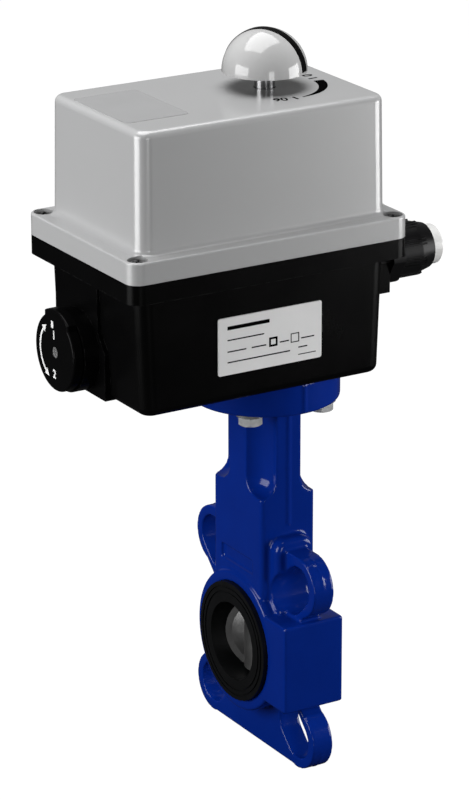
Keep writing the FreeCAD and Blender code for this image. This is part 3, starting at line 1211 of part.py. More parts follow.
def switch_bracket():
    """The bent plate behind the switches, which also props the board."""
    y0 = SWITCH_FRONT + SWITCH_DEPTH
    half = SWITCH_LENGTH / 2 + 0.5
    base = box(-half, half, y0 - BRACKET_FOOT, y0 + BRACKET_THICKNESS, UPPER_PLATE_TOP,
               UPPER_PLATE_TOP + BRACKET_THICKNESS)
    wall = box(-half, half, y0, y0 + BRACKET_THICKNESS, UPPER_PLATE_TOP, BOARD_HEIGHT)
    return joined(base, wall)


def circuit_board():
    half = BOARD_HALF_WIDTH
    top = BOARD_HEIGHT + BOARD_THICKNESS
    board = tray((BOARD_LEFT, BOARD_RIGHT), (BOARD_LEFT, BOARD_RIGHT), half, half, BOARD_CORNER, BOARD_HEIGHT, top)
    board = board.cut(rod(SHAFT_UPPER_RADIUS + 3, BOARD_HEIGHT - 1, top + 1))
    for place in BOARD_POSTS:
        board = board.cut(rod(BOARD_SCREW_RADIUS, BOARD_HEIGHT - 1, top + 1, place))
    return board


def board_posts():
    posts = []
    for place in BOARD_POSTS:
        post = hexagon(BOARD_POST_FLATS, UPPER_PLATE_TOP, BOARD_HEIGHT, place)
        end = rod(BOARD_SCREW_RADIUS, BOARD_HEIGHT, BOARD_HEIGHT + BOARD_THICKNESS + 2, place)
        posts.append(post.fuse(end))
    return posts


def terminal_block():
    """The screw terminals, in one moulding at the cable end of the board."""
    z0 = BOARD_HEIGHT + BOARD_THICKNESS
    top = z0 + TERMINAL_HEIGHT
    right = BOARD_RIGHT - 1
    middle = right - TERMINAL_DEPTH / 2
    half = TERMINAL_COUNT * TERMINAL_PITCH / 2
    mouth = TERMINAL_PITCH / 3
    block = box(right - TERMINAL_DEPTH, right, -half, half, z0, top)
    for k in range(TERMINAL_COUNT):
        y = -half + (k + 0.5) * TERMINAL_PITCH
        block = block.cut(rod(mouth, top - 4, top + 1, V(middle, y, 0)))
        block = block.cut(box(right - 2, right + 1, y - mouth, y + mouth, z0 + 1, z0 + 1 + 2 * mouth))
    return block


def motor_capacitor():
    place = V(DECK_LEFT + CAPACITOR_RADIUS + 4, -CAPACITOR_RADIUS * 2, 0)
    top = UPPER_PLATE_TOP + CAPACITOR_HEIGHT
    can = rod(CAPACITOR_RADIUS, UPPER_PLATE_TOP, top, place)
    can = can.makeFillet(1.2, edges_at_height(can, top))
    return can.cut(tube(CAPACITOR_RADIUS + 1, CAPACITOR_RADIUS - 0.5, top - 5, top - 4, place))


def transformer_place():
    """The near left lower corner of the core."""
    return V(DECK_LEFT + 2, WINDING_PROUD + 0.5, UPPER_PLATE_TOP)


def transformer_core():
    """A laminated core with two windows; the winding sits on the limb between them."""
    corner = transformer_place()
    core = Part.makeBox(CORE_LENGTH, CORE_DEPTH, CORE_HEIGHT, corner)
    edge = (CORE_HEIGHT - CORE_WINDOW_HEIGHT) / 2
    limb = (CORE_DEPTH - 2 * CORE_WINDOW_DEPTH) / 4
    for start in (limb, CORE_DEPTH - limb - CORE_WINDOW_DEPTH):
        core = core.cut(Part.makeBox(CORE_LENGTH + 2, CORE_WINDOW_DEPTH, CORE_WINDOW_HEIGHT,
                                     corner + V(-1, start, edge)))
    return core


def transformer_winding():
    corner = transformer_place()
    edge = (CORE_HEIGHT - CORE_WINDOW_HEIGHT) / 2
    limb = (CORE_DEPTH - 2 * CORE_WINDOW_DEPTH) / 4
    coil = Part.makeBox(CORE_LENGTH + 2 * WINDING_PROUD, CORE_DEPTH - 2 * limb, CORE_WINDOW_HEIGHT,
                        corner + V(-WINDING_PROUD, limb, edge))
    return coil.cut(Part.makeBox(CORE_LENGTH, 2 * limb, CORE_WINDOW_HEIGHT,
                                 corner + V(0, limb + CORE_WINDOW_DEPTH, edge)))


def save_electrics():
    save("limit_switches", *limit_switches())
    save("switch_bracket", switch_bracket())
    save("circuit_board", circuit_board())
    save("board_posts", *board_posts())
    save("terminal_block", terminal_block())
    save("motor_capacitor", motor_capacitor())
    save("transformer_core", transformer_core())
    save("transformer_winding", transformer_winding())


# Cable entries


def gland_places():
    return [side * GLAND_OFFSET for side in (-1, 1)]


def gland_body(y):
    x0 = RIM_RIGHT
    x1 = x0 + GLAND_HEX_THICKNESS
    inner_end = INNER_RIGHT - LOCKNUT_THICKNESS - GLAND_THREAD_RUNOUT
    body = rod_x(GLAND_THREAD_RADIUS, inner_end, x0, y, GLAND_HEIGHT)
    flats = hexagon_x(GLAND_HEX_FLATS, x0, x1, y, GLAND_HEIGHT)
    flats = flats.common(rod_x(GLAND_HEX_FLATS * 0.55, x0, x1, y, GLAND_HEIGHT))
    collet = rod_x(GLAND_COLLET_RADIUS, x1, x1 + GLAND_COLLET_LENGTH, y, GLAND_HEIGHT)
    body = joined(body, flats, collet)
    return body.cut(rod_x(GLAND_BORE_RADIUS, inner_end - 1, x1 + GLAND_COLLET_LENGTH + 1, y, GLAND_HEIGHT))


def gland_nut(y):
    """The ribbed dome nut that closes the collet."""
    x0 = GLAND_NUT_START
    straight = x0 + GLAND_NUT_STRAIGHT
    end = GLAND_NUT_END
    core = GLAND_NUT_RADIUS - GLAND_RIB_HEIGHT
    nut = rod_x(core, x0, straight, y, GLAND_HEIGHT)
    nut = nut.fuse(Part.makeCone(core, GLAND_NUT_FRONT_RADIUS, end - straight, V(straight, y, GLAND_HEIGHT), ALONG))
    for group in range(GLAND_RIB_COUNT):
        for line in (-1, 0, 1):
            rib = box(x0, straight + 2, -GLAND_RIB_WIDTH / 2, GLAND_RIB_WIDTH / 2, core - 1, GLAND_NUT_RADIUS)
            rib.rotate(CENTRE, ALONG, 360 * group / GLAND_RIB_COUNT + line * 7 + 16)
            rib.translate(V(0, y, GLAND_HEIGHT))
            nut = nut.fuse(rib)
    hollow_end = end - GLAND_NUT_LIP
    nut = nut.cut(rod_x(GLAND_COLLET_RADIUS + FREE_GAP, x0 - 1, hollow_end, y, GLAND_HEIGHT))
    mouth = rod_x(GLAND_BORE_RADIUS + FREE_GAP, hollow_end - 1, end + 1, y, GLAND_HEIGHT)
    return nut.cut(mouth).removeSplitter()


def blanking_plug(y):
    """The plug that fills the gland until a cable is fitted."""
    tip = GLAND_NUT_END + PLUG_HEAD
    head = rod_x(PLUG_RADIUS, GLAND_NUT_END, tip, y, GLAND_HEIGHT)
    rounded = [e for e in head.Edges if len(e.Vertexes) == 1 and abs(e.Vertexes[0].X - tip) < 1e-6]
    head = head.makeFillet(PLUG_ROUND, rounded)
    return joined(head, rod_x(GLAND_BORE_RADIUS - GLAND_SEAL_WALL, RIM_RIGHT + 2, GLAND_NUT_END, y, GLAND_HEIGHT))


def gland_seal(y):
    end = RIM_RIGHT + GLAND_HEX_THICKNESS + GLAND_COLLET_LENGTH
    return tube_x(GLAND_BORE_RADIUS, GLAND_BORE_RADIUS - GLAND_SEAL_WALL, RIM_RIGHT + 3, end, y, GLAND_HEIGHT)


def gland_locknut(y):
    start = INNER_RIGHT - LOCKNUT_THICKNESS
    nut = hexagon_x(GLAND_HEX_FLATS, start, INNER_RIGHT, y, GLAND_HEIGHT)
    return nut.cut(rod_x(GLAND_THREAD_RADIUS, start - 1, INNER_RIGHT + 1, y, GLAND_HEIGHT))


def save_entries():
    save("gland_bodies", *[gland_body(y) for y in gland_places()])
    save("gland_nuts", *[gland_nut(y) for y in gland_places()])
    save("gland_seals", *[gland_seal(y) for y in gland_places()])
    save("gland_locknuts", *[gland_locknut(y) for y in gland_places()])
    save("blanking_plugs", *[blanking_plug(y) for y in gland_places()])


os.makedirs("parts", exist_ok=True)
save_valve()
save_casing()
save_drive()
save_motor()
save_selector()
save_electrics()
save_entries()
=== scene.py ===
"""The looks of a motorized butterfly valve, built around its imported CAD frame."""
import json
import math

import bpy
from mathutils import Matrix, Vector

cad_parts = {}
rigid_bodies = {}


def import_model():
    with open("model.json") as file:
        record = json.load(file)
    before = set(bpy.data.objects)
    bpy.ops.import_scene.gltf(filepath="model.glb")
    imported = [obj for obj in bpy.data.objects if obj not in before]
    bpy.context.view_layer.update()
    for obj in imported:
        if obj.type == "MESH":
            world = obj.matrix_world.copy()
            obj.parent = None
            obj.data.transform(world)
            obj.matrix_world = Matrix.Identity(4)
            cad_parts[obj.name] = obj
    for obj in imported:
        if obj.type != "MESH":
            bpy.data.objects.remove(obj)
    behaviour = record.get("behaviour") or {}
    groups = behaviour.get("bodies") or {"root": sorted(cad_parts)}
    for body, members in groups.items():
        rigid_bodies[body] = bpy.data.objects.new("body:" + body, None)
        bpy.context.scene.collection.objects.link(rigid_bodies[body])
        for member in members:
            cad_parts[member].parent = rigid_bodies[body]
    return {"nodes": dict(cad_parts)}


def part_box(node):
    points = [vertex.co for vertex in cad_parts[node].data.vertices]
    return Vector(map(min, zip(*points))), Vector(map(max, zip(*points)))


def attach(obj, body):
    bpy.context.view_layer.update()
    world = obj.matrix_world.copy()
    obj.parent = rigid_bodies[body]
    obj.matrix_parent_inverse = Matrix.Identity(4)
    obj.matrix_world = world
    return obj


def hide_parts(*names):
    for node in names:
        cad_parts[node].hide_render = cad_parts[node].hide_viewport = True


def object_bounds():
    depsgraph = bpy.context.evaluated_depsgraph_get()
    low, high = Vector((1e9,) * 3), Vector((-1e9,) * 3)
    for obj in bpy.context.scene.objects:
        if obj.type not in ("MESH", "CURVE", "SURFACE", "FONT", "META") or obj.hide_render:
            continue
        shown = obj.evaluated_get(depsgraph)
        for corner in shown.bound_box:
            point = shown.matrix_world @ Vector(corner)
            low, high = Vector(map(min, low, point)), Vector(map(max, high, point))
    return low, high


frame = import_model()
cad_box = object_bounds()
cad = frame["nodes"]
MM = 0.001


# Camera. The photograph was taken from the front left and a little above, with a long lens. The angles, the
# distance and the lens were fitted to the valve's known sizes.
CAMERA_AZIMUTH = math.radians(31.09)
CAMERA_ELEVATION = math.radians(19.60)
CAMERA_ROLL = math.radians(-0.09)
CAMERA_DISTANCE = 1.5473
CAMERA_TARGET = Vector((-0.01084, 0.00654, 0.10832))
CAMERA_LENS = 162.83
CAMERA_CLIP = 0.05

camera_data = bpy.data.cameras.new("camera")
camera_data.lens = CAMERA_LENS
camera_data.clip_start = CAMERA_CLIP
camera = bpy.data.objects.new("camera", camera_data)
bpy.context.scene.collection.objects.link(camera)
turn = Matrix.Rotation(-CAMERA_AZIMUTH, 4, "Z")
tilt = Matrix.Rotation(math.pi / 2 - CAMERA_ELEVATION, 4, "X")
roll = Matrix.Rotation(CAMERA_ROLL, 4, "Z")
away = Vector((-math.sin(CAMERA_AZIMUTH) * math.cos(CAMERA_ELEVATION),
               -math.cos(CAMERA_AZIMUTH) * math.cos(CAMERA_ELEVATION),
               math.sin(CAMERA_ELEVATION)))
camera.matrix_world = Matrix.Translation(CAMERA_TARGET + CAMERA_DISTANCE * away) @ turn @ tilt @ roll
bpy.context.scene.camera = camera


# Studio. A table and a room that the camera sees as white, but that are dim to everything else, so that the
# soft boxes alone shape the light: one on the left, one overhead, two in front and a broad screen behind.
WHITE = (1, 1, 1, 1)
TABLE_SIZE = 12.0
TABLE_SQUARES = 8
TABLE_GAP = 0.4 * MM
TABLE_PAPER = (0.80, 0.80, 0.80, 1)
TABLE_GLOW = 1.05
TABLE_GLOW_SHARE = 0.95
TABLE_DIM = (0.03, 0.03, 0.03, 1)
ROOM_DIM = 0.03
LIGHT_TARGET = Vector((0, 0, 0.15))
# Each has a name, a place and a size in metres, and a power in watts.
SOFT_BOXES = (
    ("left_box", (-0.62, 0.06, 0.22), (0.46, 0.40), 3.85),
    ("top_box", (-0.05, 0.15, 1.05), (1.00, 0.80), 13.0),
    ("front_box", (0.58, -0.42, 0.18), (0.46, 0.38), 4.5),
    ("low_box", (-0.30, -1.30, 0.20), (0.32, 0.50), 2.9),
    ("back_screen", (0.55, 1.05, 0.62), (2.40, 1.20), 1.3),
)


def put(tree, kind, inputs=None, **settings):
    """Adds a node, links or sets its inputs, and gives it back."""
    made = tree.nodes.new(kind)
    for name, value in settings.items():
        setattr(made, name, value)
    for name, value in (inputs or {}).items():
        if isinstance(value, bpy.types.NodeSocket):
            tree.links.new(value, made.inputs[name])
        else:
            made.inputs[name].default_value = value
    return made


def new_material(name):
    """An empty material and its node tree."""
    material = bpy.data.materials.new(name)
    material.use_nodes = True
    tree = material.node_tree
    tree.nodes.clear()
    return material, tree


def deselect_all():
    for item in bpy.context.view_layer.objects:
        item.select_set(False)


world = bpy.data.worlds.new("room")
world.use_nodes = True
room = world.node_tree
room.nodes.clear()
ray = put(room, "ShaderNodeLightPath")
strength = put(room, "ShaderNodeMapRange", {"Value": ray.outputs["Is Camera Ray"], "To Min": ROOM_DIM})
backdrop = put(room, "ShaderNodeBackground", {"Color": WHITE, "Strength": strength.outputs[0]})
put(room, "ShaderNodeOutputWorld", {"Surface": backdrop.outputs[0]})
bpy.context.scene.world = world
bpy.context.scene.view_settings.view_transform = "Standard"

for name, place, size, power in SOFT_BOXES:
    light_data = bpy.data.lights.new(name, "AREA")
    light_data.shape = "RECTANGLE"
    light_data.size, light_data.size_y = size
    light_data.energy = power
    light = bpy.data.objects.new(name, light_data)
    bpy.context.scene.collection.objects.link(light)
    light.location = place
    light.rotation_euler = (LIGHT_TARGET - Vector(place)).to_track_quat("-Z", "Y").to_euler()
    light.visible_camera = False

deselect_all()
bpy.ops.mesh.primitive_grid_add(x_subdivisions=TABLE_SQUARES, y_subdivisions=TABLE_SQUARES, size=TABLE_SIZE,
                                location=(0, 0, cad_box[0][2] - TABLE_GAP))
table = bpy.context.object
table.name = "table"
material, tree = new_material("white_table")
paper = put(tree, "ShaderNodeBsdfDiffuse", {"Color": TABLE_PAPER})
glow = put(tree, "ShaderNodeEmission", {"Color": WHITE, "Strength": TABLE_GLOW})
seen = put(tree, "ShaderNodeMixShader", {0: TABLE_GLOW_SHARE, 1: paper.outputs[0], 2: glow.outputs[0]})
dim = put(tree, "ShaderNodeBsdfDiffuse", {"Color": TABLE_DIM})
ray = put(tree, "ShaderNodeLightPath")
both = put(tree, "ShaderNodeMixShader", {0: ray.outputs["Is Camera Ray"], 1: dim.outputs[0],
                                         2: seen.outputs[0]})
put(tree, "ShaderNodeOutputMaterial", {"Surface": both.outputs[0]})
table.data.materials.append(material)


# Valve casting. A wafer body of ductile iron with a square neck and a round top flange, cast in a sand
# mould split at X = 0 and coated with a thick blue epoxy that rounds every edge and runs in the corners.
EPOXY_BLUE = (0.0012, 0.021, 0.230, 1)
EPOXY_DEEP = (0.0010, 0.017, 0.195, 1)
EPOXY_HIGHLIGHT = (0.0040, 0.045, 0.360, 1)
SAME_POINT = 0.001 * MM
CAST_VOXEL = 0.6 * MM
CAST_SMOOTHING = 0.5
CAST_SMOOTHING_PASSES = 3
CAST_TRIANGLES = 190000
WEB_RECESS_LOW = Vector((-13.9, -12.0, 34.5)) * MM
WEB_RECESS_HIGH = Vector((-11.9, 13.7, 41.0)) * MM
WEB_RECESS_ROUNDING = 0.4 * MM
NECK_HALF = 20.0 * MM
FLANGE_RADIUS = 32.5 * MM
SEAM_HALF = 0.55 * MM
SEAM_PROUD = 0.6 * MM
# Each straight seam has its inner and outer distance from the stem's axis, its bottom and its top.
STRAIGHT_SEAMS = (
    (19.0 * MM, NECK_HALF + SEAM_PROUD, 58.0 * MM, 111.0 * MM),
    (31.5 * MM, FLANGE_RADIUS + SEAM_PROUD, 112.6 * MM, 125.2 * MM),
)
# The seam on an ear is a ring round the outer end of its slot, moved outward and cut off on the inside.
EAR_CENTRE = 35.36 * MM
EAR_SEAM_RADIUS = 12.3 * MM
EAR_SEAM_SHIFT = 0.87 * MM
EAR_SEAM_CUT = 2.3 * MM
# The noise levels that blotches run between, and those that break up the painted edge highlights
BLOTCH_RANGE = (0.1, 0.9)
HIGHLIGHT_BREAK = (0.42, 0.62)
# How closely a rounded normal follows the real one where the painted edge highlight starts and is full
HIGHLIGHT_STARTS = 0.97
HIGHLIGHT_FULL = 0.80


def make_group(name, inputs, outputs):
    """Starts a shader node group with number inputs and the given outputs."""
    group = bpy.data.node_groups.new(name, "ShaderNodeTree")
    for label, value in inputs:
        socket = group.interface.new_socket(name=label, in_out="INPUT", socket_type="NodeSocketFloat")
        socket.default_value = value
    for label, kind in outputs:
        group.interface.new_socket(name=label, in_out="OUTPUT", socket_type=kind)
    start = group.nodes.new("NodeGroupInput")
    end = group.nodes.new("NodeGroupOutput")
    return group, start, end


def surface_group():
    """Fine grain, slow unevenness and blotches, all on object coordinates in metres."""
    group, start, end = make_group(
        "surface", (("Grain", 800.0), ("Waves", 120.0), ("Blotches", 40.0)),
        (("Grain", "NodeSocketFloat"), ("Waves", "NodeSocketFloat"), ("Blotches", "NodeSocketFloat")))
    place = put(group, "ShaderNodeTexCoord").outputs["Object"]
    for label, detail, roughness in (("Grain", 2.0, 0.5), ("Waves", 1.0, 0.4), ("Blotches", 4.0, 0.6)):
        noise = put(group, "ShaderNodeTexNoise", {"Vector": place, "Scale": start.outputs[label],
                                                  "Detail": detail, "Roughness": roughness})
        group.links.new(noise.outputs["Fac"], end.inputs[label])
    return group


def highlight_mask_group():
    """A mask that is white on sharp outer edges, broken up by noise, for painted edge highlights."""
    group, start, end = make_group("painted_edge_highlight", (("Radius", 0.0006), ("Break up", 300.0)),
                                   (("Edge", "NodeSocketFloat"),))
    rounded = put(group, "ShaderNodeBevel", {"Radius": start.outputs["Radius"]}, samples=4)
    real = put(group, "ShaderNodeNewGeometry")
    same = put(group, "ShaderNodeVectorMath", {0: rounded.outputs[0], 1: real.outputs["Normal"]},
               operation="DOT_PRODUCT")
    edge = put(group, "ShaderNodeMapRange", {"Value": same.outputs["Value"], "From Min": HIGHLIGHT_STARTS,
                                             "From Max": HIGHLIGHT_FULL})
    place = put(group, "ShaderNodeTexCoord").outputs["Object"]
    noise = put(group, "ShaderNodeTexNoise", {"Vector": place, "Scale": start.outputs["Break up"],
                                              "Detail": 4.0})
    broken = put(group, "ShaderNodeMapRange", {"Value": noise.outputs["Fac"], "From Min": HIGHLIGHT_BREAK[0],
                                               "From Max": HIGHLIGHT_BREAK[1]})
    mask = put(group, "ShaderNodeMath", {0: edge.outputs[0], 1: broken.outputs[0]}, operation="MULTIPLY")
    group.links.new(mask.outputs[0], end.inputs["Edge"])
    return group


SURFACE = surface_group()
HIGHLIGHT_MASK = highlight_mask_group()


def blend_colour(tree, mask, first, second):
    """The first colour where the mask is black and the second where it is white."""
    mix = put(tree, "ShaderNodeMix", {"Factor": mask}, data_type="RGBA")
    colours = [s for s in mix.inputs if s.type == "RGBA"]
    for socket, value in zip(colours, (first, second)):
        if isinstance(value, bpy.types.NodeSocket):
            tree.links.new(value, socket)
        else:
            socket.default_value = value
    return [s for s in mix.outputs if s.type == "RGBA"][0]


def finish_material(name, light, dark, rough, grain, waves, blotches, painted_highlight=None, highlight_reach=0.5, **sockets):
    """A surface with blotches between two colours, grain and waves in relief, and a painted highlight on
    its edges. rough is the lowest and the highest roughness. The rest is in mm: grain and waves are each a
    size and a depth, blotches is a size, and the highlight's radius says how far it reaches from an edge."""
    material, tree = new_material(name)
    surface = put(tree, "ShaderNodeGroup", node_tree=SURFACE)
    surface.inputs["Grain"].default_value = 1 / (grain[0] * MM)
    surface.inputs["Waves"].default_value = 1 / (waves[0] * MM)
    surface.inputs["Blotches"].default_value = 1 / (blotches * MM)
    low, high = BLOTCH_RANGE
    spread = put(tree, "ShaderNodeMapRange", {"Value": surface.outputs["Blotches"], "From Min": low,
                                              "From Max": high})
    colour = blend_colour(tree, spread.outputs[0], dark, light)
    roughness = put(tree, "ShaderNodeMapRange", {"Value": surface.outputs["Blotches"], "From Min": low,
                                                 "From Max": high, "To Min": rough[0], "To Max": rough[1]})
    # Sharp edges get a lighter colour: a painted highlight.
    if painted_highlight:
        edges = put(tree, "ShaderNodeGroup", node_tree=HIGHLIGHT_MASK)
        edges.inputs["Radius"].default_value = highlight_reach * MM
        colour = blend_colour(tree, edges.outputs["Edge"], colour, painted_highlight)
    slow = put(tree, "ShaderNodeBump", {"Height": surface.outputs["Waves"], "Distance": waves[1] * MM})
    fine = put(tree, "ShaderNodeBump", {"Height": surface.outputs["Grain"], "Distance": grain[1] * MM,
                                        "Normal": slow.outputs[0]})
    shader = put(tree, "ShaderNodeBsdfPrincipled", {"Base Color": colour, "Roughness": roughness.outputs[0],
                                                    "Normal": fine.outputs[0]})
    for socket, value in sockets.items():
        shader.inputs[socket.replace("_", " ")].default_value = value
    put(tree, "ShaderNodeOutputMaterial", {"Surface": shader.outputs[0]})
    return material


def coat(piece, material):
    """Gives a piece its one material."""
    piece.data.materials.clear()
    piece.data.materials.append(material)


def dress(material, *nodes):
    """Gives CAD nodes their material."""
    for node in nodes:
        coat(cad[node], material)


def pick(thing):
    """Makes one object the only one selected, and active."""
    deselect_all()
    thing.select_set(True)
    bpy.context.view_layer.objects.active = thing


def apply_place():
    """Puts the active object's place, turn and scale into its mesh."""
    bpy.ops.object.transform_apply(location=True, rotation=True, scale=True)


def copy_of(node, name):
    """A merged copy of a CAD node's mesh, as a new object to work on."""
    piece = bpy.data.objects.new(name, cad[node].data.copy())
    bpy.context.scene.collection.objects.link(piece)
    pick(piece)
    bpy.ops.object.mode_set(mode="EDIT")
    bpy.ops.mesh.select_all(action="SELECT")
    bpy.ops.mesh.remove_doubles(threshold=SAME_POINT)
    bpy.ops.object.mode_set(mode="OBJECT")
    bpy.ops.mesh.customdata_custom_splitnormals_clear()
    return piece


def add_block(name, low, high, rounding=0.0):
    """A block from one corner to the other, with its edges rounded if a rounding is given."""
    deselect_all()
    low, high = Vector(low), Vector(high)
    bpy.ops.mesh.primitive_cube_add(size=1, location=(low + high) / 2)
    block = bpy.context.object
    block.name = name
    block.scale = high - low
    apply_place()
    if rounding:
        bpy.ops.object.mode_set(mode="EDIT")
        bpy.ops.mesh.select_all(action="SELECT")
        bpy.ops.mesh.bevel(offset=rounding, segments=3)
        bpy.ops.object.mode_set(mode="OBJECT")
    return block


def apply_modifier(piece, kind, **settings):
    """Adds a modifier, sets it and applies it."""
    pick(piece)
    modifier = piece.modifiers.new(kind.lower(), kind)
    for name, value in settings.items():
        setattr(modifier, name, value)
    bpy.ops.object.modifier_apply(modifier=modifier.name)


def shape_with(piece, tool, operation="DIFFERENCE"):
    """Cuts a piece with another solid, or keeps what both share, and takes the other solid away."""
    apply_modifier(piece, "BOOLEAN", operation=operation, object=tool, solver="EXACT")
    bpy.data.objects.remove(tool)


def join_pieces(kept, others):
    """Joins other objects into the first one."""
    pick(kept)
    for other in others:
        other.select_set(True)
    bpy.ops.object.join()
    return kept


def cut_flat(piece, point, normal):
    """Cuts away what lies on the side of a plane that the normal points to, and closes the cut."""
    pick(piece)
    bpy.ops.object.mode_set(mode="EDIT")
    bpy.ops.mesh.select_all(action="SELECT")
    bpy.ops.mesh.bisect(plane_co=point, plane_no=normal, use_fill=True, clear_outer=True)
    bpy.ops.object.mode_set(mode="OBJECT")


def ear_seam(side, level):
    """The mould's seam round the outer edge of one ear."""
    outward = Vector((0, side, level)).normalized()
    centre = Vector((0, side * EAR_CENTRE, level * EAR_CENTRE)) + EAR_SEAM_SHIFT * outward
    deselect_all()
    bpy.ops.mesh.primitive_torus_add(major_segments=64, minor_segments=8, major_radius=EAR_SEAM_RADIUS,
                                     minor_radius=SEAM_HALF, location=centre, rotation=(0, math.pi / 2, 0))
    bead = bpy.context.object
    apply_place()
    cut_flat(bead, centre - EAR_SEAM_CUT * outward, -outward)
    return bead


casting = copy_of("valve_body", "valve_casting")
shape_with(casting, add_block("web_recess", WEB_RECESS_LOW, WEB_RECESS_HIGH, WEB_RECESS_ROUNDING))
seams = []
for side in (-1, 1):
    for inner, outer, low, high in STRAIGHT_SEAMS:
        near, far = sorted((side * inner, side * outer))
        seams.append(add_block("seam", (-SEAM_HALF, near, low), (SEAM_HALF, far, high)))
    for level in (-1, 1):
        seams.append(ear_seam(side, level))
# The remesh melts the seams into the body and rounds every edge, as the coating does.
join_pieces(casting, seams)
apply_modifier(casting, "REMESH", mode="VOXEL", voxel_size=CAST_VOXEL, use_smooth_shade=True)
apply_modifier(casting, "SMOOTH", factor=CAST_SMOOTHING, iterations=CAST_SMOOTHING_PASSES)
casting_triangles = 2 * len(casting.data.polygons)
if casting_triangles > CAST_TRIANGLES:
    apply_modifier(casting, "DECIMATE", ratio=CAST_TRIANGLES / casting_triangles)
bpy.ops.object.shade_smooth()

# Its sharp edges are a lighter blue: a painted highlight.
blue_epoxy = finish_material(
    "blue_epoxy", EPOXY_BLUE, EPOXY_DEEP, rough=(0.09, 0.16), grain=(1.4, 0.006), waves=(5.0, 0.05),
    blotches=16.0, painted_highlight=EPOXY_HIGHLIGHT, highlight_reach=0.8, Specular_IOR_Level=0.26)
coat(casting, blue_epoxy)
dress(blue_epoxy, "valve_body")
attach(casting, "casing")
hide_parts("valve_body")


# Seat liner and seals. The liner is black rubber, moulded over the bore and both faces of the body, with
# sealing rings on its lips. The seals of the stem, the shafts, the glands and the cover are rubber as well.
RUBBER = (0.0026, 0.0029, 0.0034, 1)
RUBBER_DEEP = (0.0016, 0.0018, 0.0021, 1)
black_rubber = finish_material(
    "black_rubber", RUBBER, RUBBER_DEEP, rough=(0.36, 0.50), grain=(0.7, 0.01), waves=(5.0, 0.04),
    blotches=9.0, Specular_IOR_Level=0.22)
dress(black_rubber, "seat_liner", "stem_seals", "output_seal", "top_seal", "selector_seal", "gland_seals",
      "cover_gasket")


# Disc. Cast stainless steel, ground round the edge that seals on the rubber. Two flats on the stem drive it,
# so it needs no pins.
DISC_GREY = (0.20, 0.20, 0.20, 1)
DISC_DARK = (0.13, 0.13, 0.13, 1)
cast_steel = finish_material(
    "cast_steel", DISC_GREY, DISC_DARK, rough=(0.32, 0.50), grain=(0.5, 0.02), waves=(4.0, 0.05),
    blotches=8.0, Metallic=0.9)
dress(cast_steel, "valve_disc")


# Stem, shafts and pins. Turned from bright steel bar, which leaves fine rings round the axis. All stand
# upright, but for the knob's shaft, which lies along the pipe.
STEEL = (0.56, 0.56, 0.57, 1)
STEEL_DARK = (0.36, 0.36, 0.37, 1)
RING_SCALE = 4200.0
RING_DETAIL = 3.0
RING_RANGE = (0.3, 0.7)
RING_DEPTH = 0.0015 * MM
TARNISH_SIZE = 6 * MM


def turned_metal(name, light, dark, rough, lathe="Z"):
    """Metal turned on a lathe: fine rings along the axis in relief and in roughness."""
    material, tree = new_material(name)
    place = put(tree, "ShaderNodeTexCoord").outputs["Object"]
    axis = put(tree, "ShaderNodeSeparateXYZ", {0: place}).outputs[lathe]
    rings = put(tree, "ShaderNodeTexNoise", {"W": axis, "Scale": RING_SCALE, "Detail": RING_DETAIL},
                noise_dimensions="1D")
    surface = put(tree, "ShaderNodeGroup", node_tree=SURFACE)
    surface.inputs["Blotches"].default_value = 1 / TARNISH_SIZE
    colour = blend_colour(tree, surface.outputs["Blotches"], dark, light)
    roughness = put(tree, "ShaderNodeMapRange", {"Value": rings.outputs["Fac"], "From Min": RING_RANGE[0],
                                                 "From Max": RING_RANGE[1], "To Min": rough[0],
                                                 "To Max": rough[1]})
    relief = put(tree, "ShaderNodeBump", {"Height": rings.outputs["Fac"], "Distance": RING_DEPTH})
    shader = put(tree, "ShaderNodeBsdfPrincipled", {"Base Color": colour, "Roughness": roughness.outputs[0],
                                                    "Normal": relief.outputs[0], "Metallic": 1.0})
    put(tree, "ShaderNodeOutputMaterial", {"Surface": shader.outputs[0]})
    return material


bright_steel = turned_metal("bright_steel", STEEL, STEEL_DARK, rough=(0.12, 0.30))
dress(bright_steel, "valve_stem", "output_shaft", "motor_shaft", "second_axle", "clutch_axle",
      "fork_guide_pin", "stem_circlip")
side_steel = turned_metal("side_steel", STEEL, STEEL_DARK, rough=(0.15, 0.32), lathe="X")
dress(side_steel, "selector_shaft")


# Stem bushes. Plain bearings of a filled polymer, moulded, and pressed into the valve body round the stem.
# Three of them hold it upright.
BUSH_TAN = (0.26, 0.21, 0.13, 1)
BUSH_BROWN = (0.18, 0.14, 0.08, 1)
bush_polymer = finish_material(
    "bush_polymer", BUSH_TAN, BUSH_BROWN, rough=(0.35, 0.5), grain=(0.6, 0.01), waves=(3.0, 0.02),
    blotches=5.0)
dress(bush_polymer, "lower_stem_bush", "middle_stem_bush", "upper_stem_bush")


# Actuator housing. The lower half of a die-cast case, painted black. The lighter line over its edges is
# a painted highlight.
HOUSING_BLACK = (0.0018, 0.0018, 0.0019, 1)
HOUSING_DEEP = (0.0013, 0.0013, 0.0014, 1)
HOUSING_HIGHLIGHT = (0.022, 0.022, 0.022, 1)
black_paint = finish_material(
    "black_paint", HOUSING_BLACK, HOUSING_DEEP, rough=(0.20, 0.30), grain=(0.9, 0.004), waves=(9.0, 0.03),
    blotches=22.0, painted_highlight=HOUSING_HIGHLIGHT, highlight_reach=0.5, Specular_IOR_Level=0.09)
dress(black_paint, "lower_housing")


# Actuator cover. The upper half of the case, die-cast and painted a smooth light grey, with a satin coat
# over it. Four screws hold it down on its gasket.
COVER_GREY = (0.386, 0.388, 0.391, 1)
COVER_SHADE = (0.378, 0.380, 0.383, 1)
grey_paint = finish_material(
    "grey_paint", COVER_GREY, COVER_SHADE, rough=(0.27, 0.29), grain=(0.9, 0.003), waves=(11.0, 0.008),
    blotches=28.0, Specular_IOR_Level=0.8, Coat_Weight=0.35, Coat_Roughness=0.06)
dress(grey_paint, "top_cover")


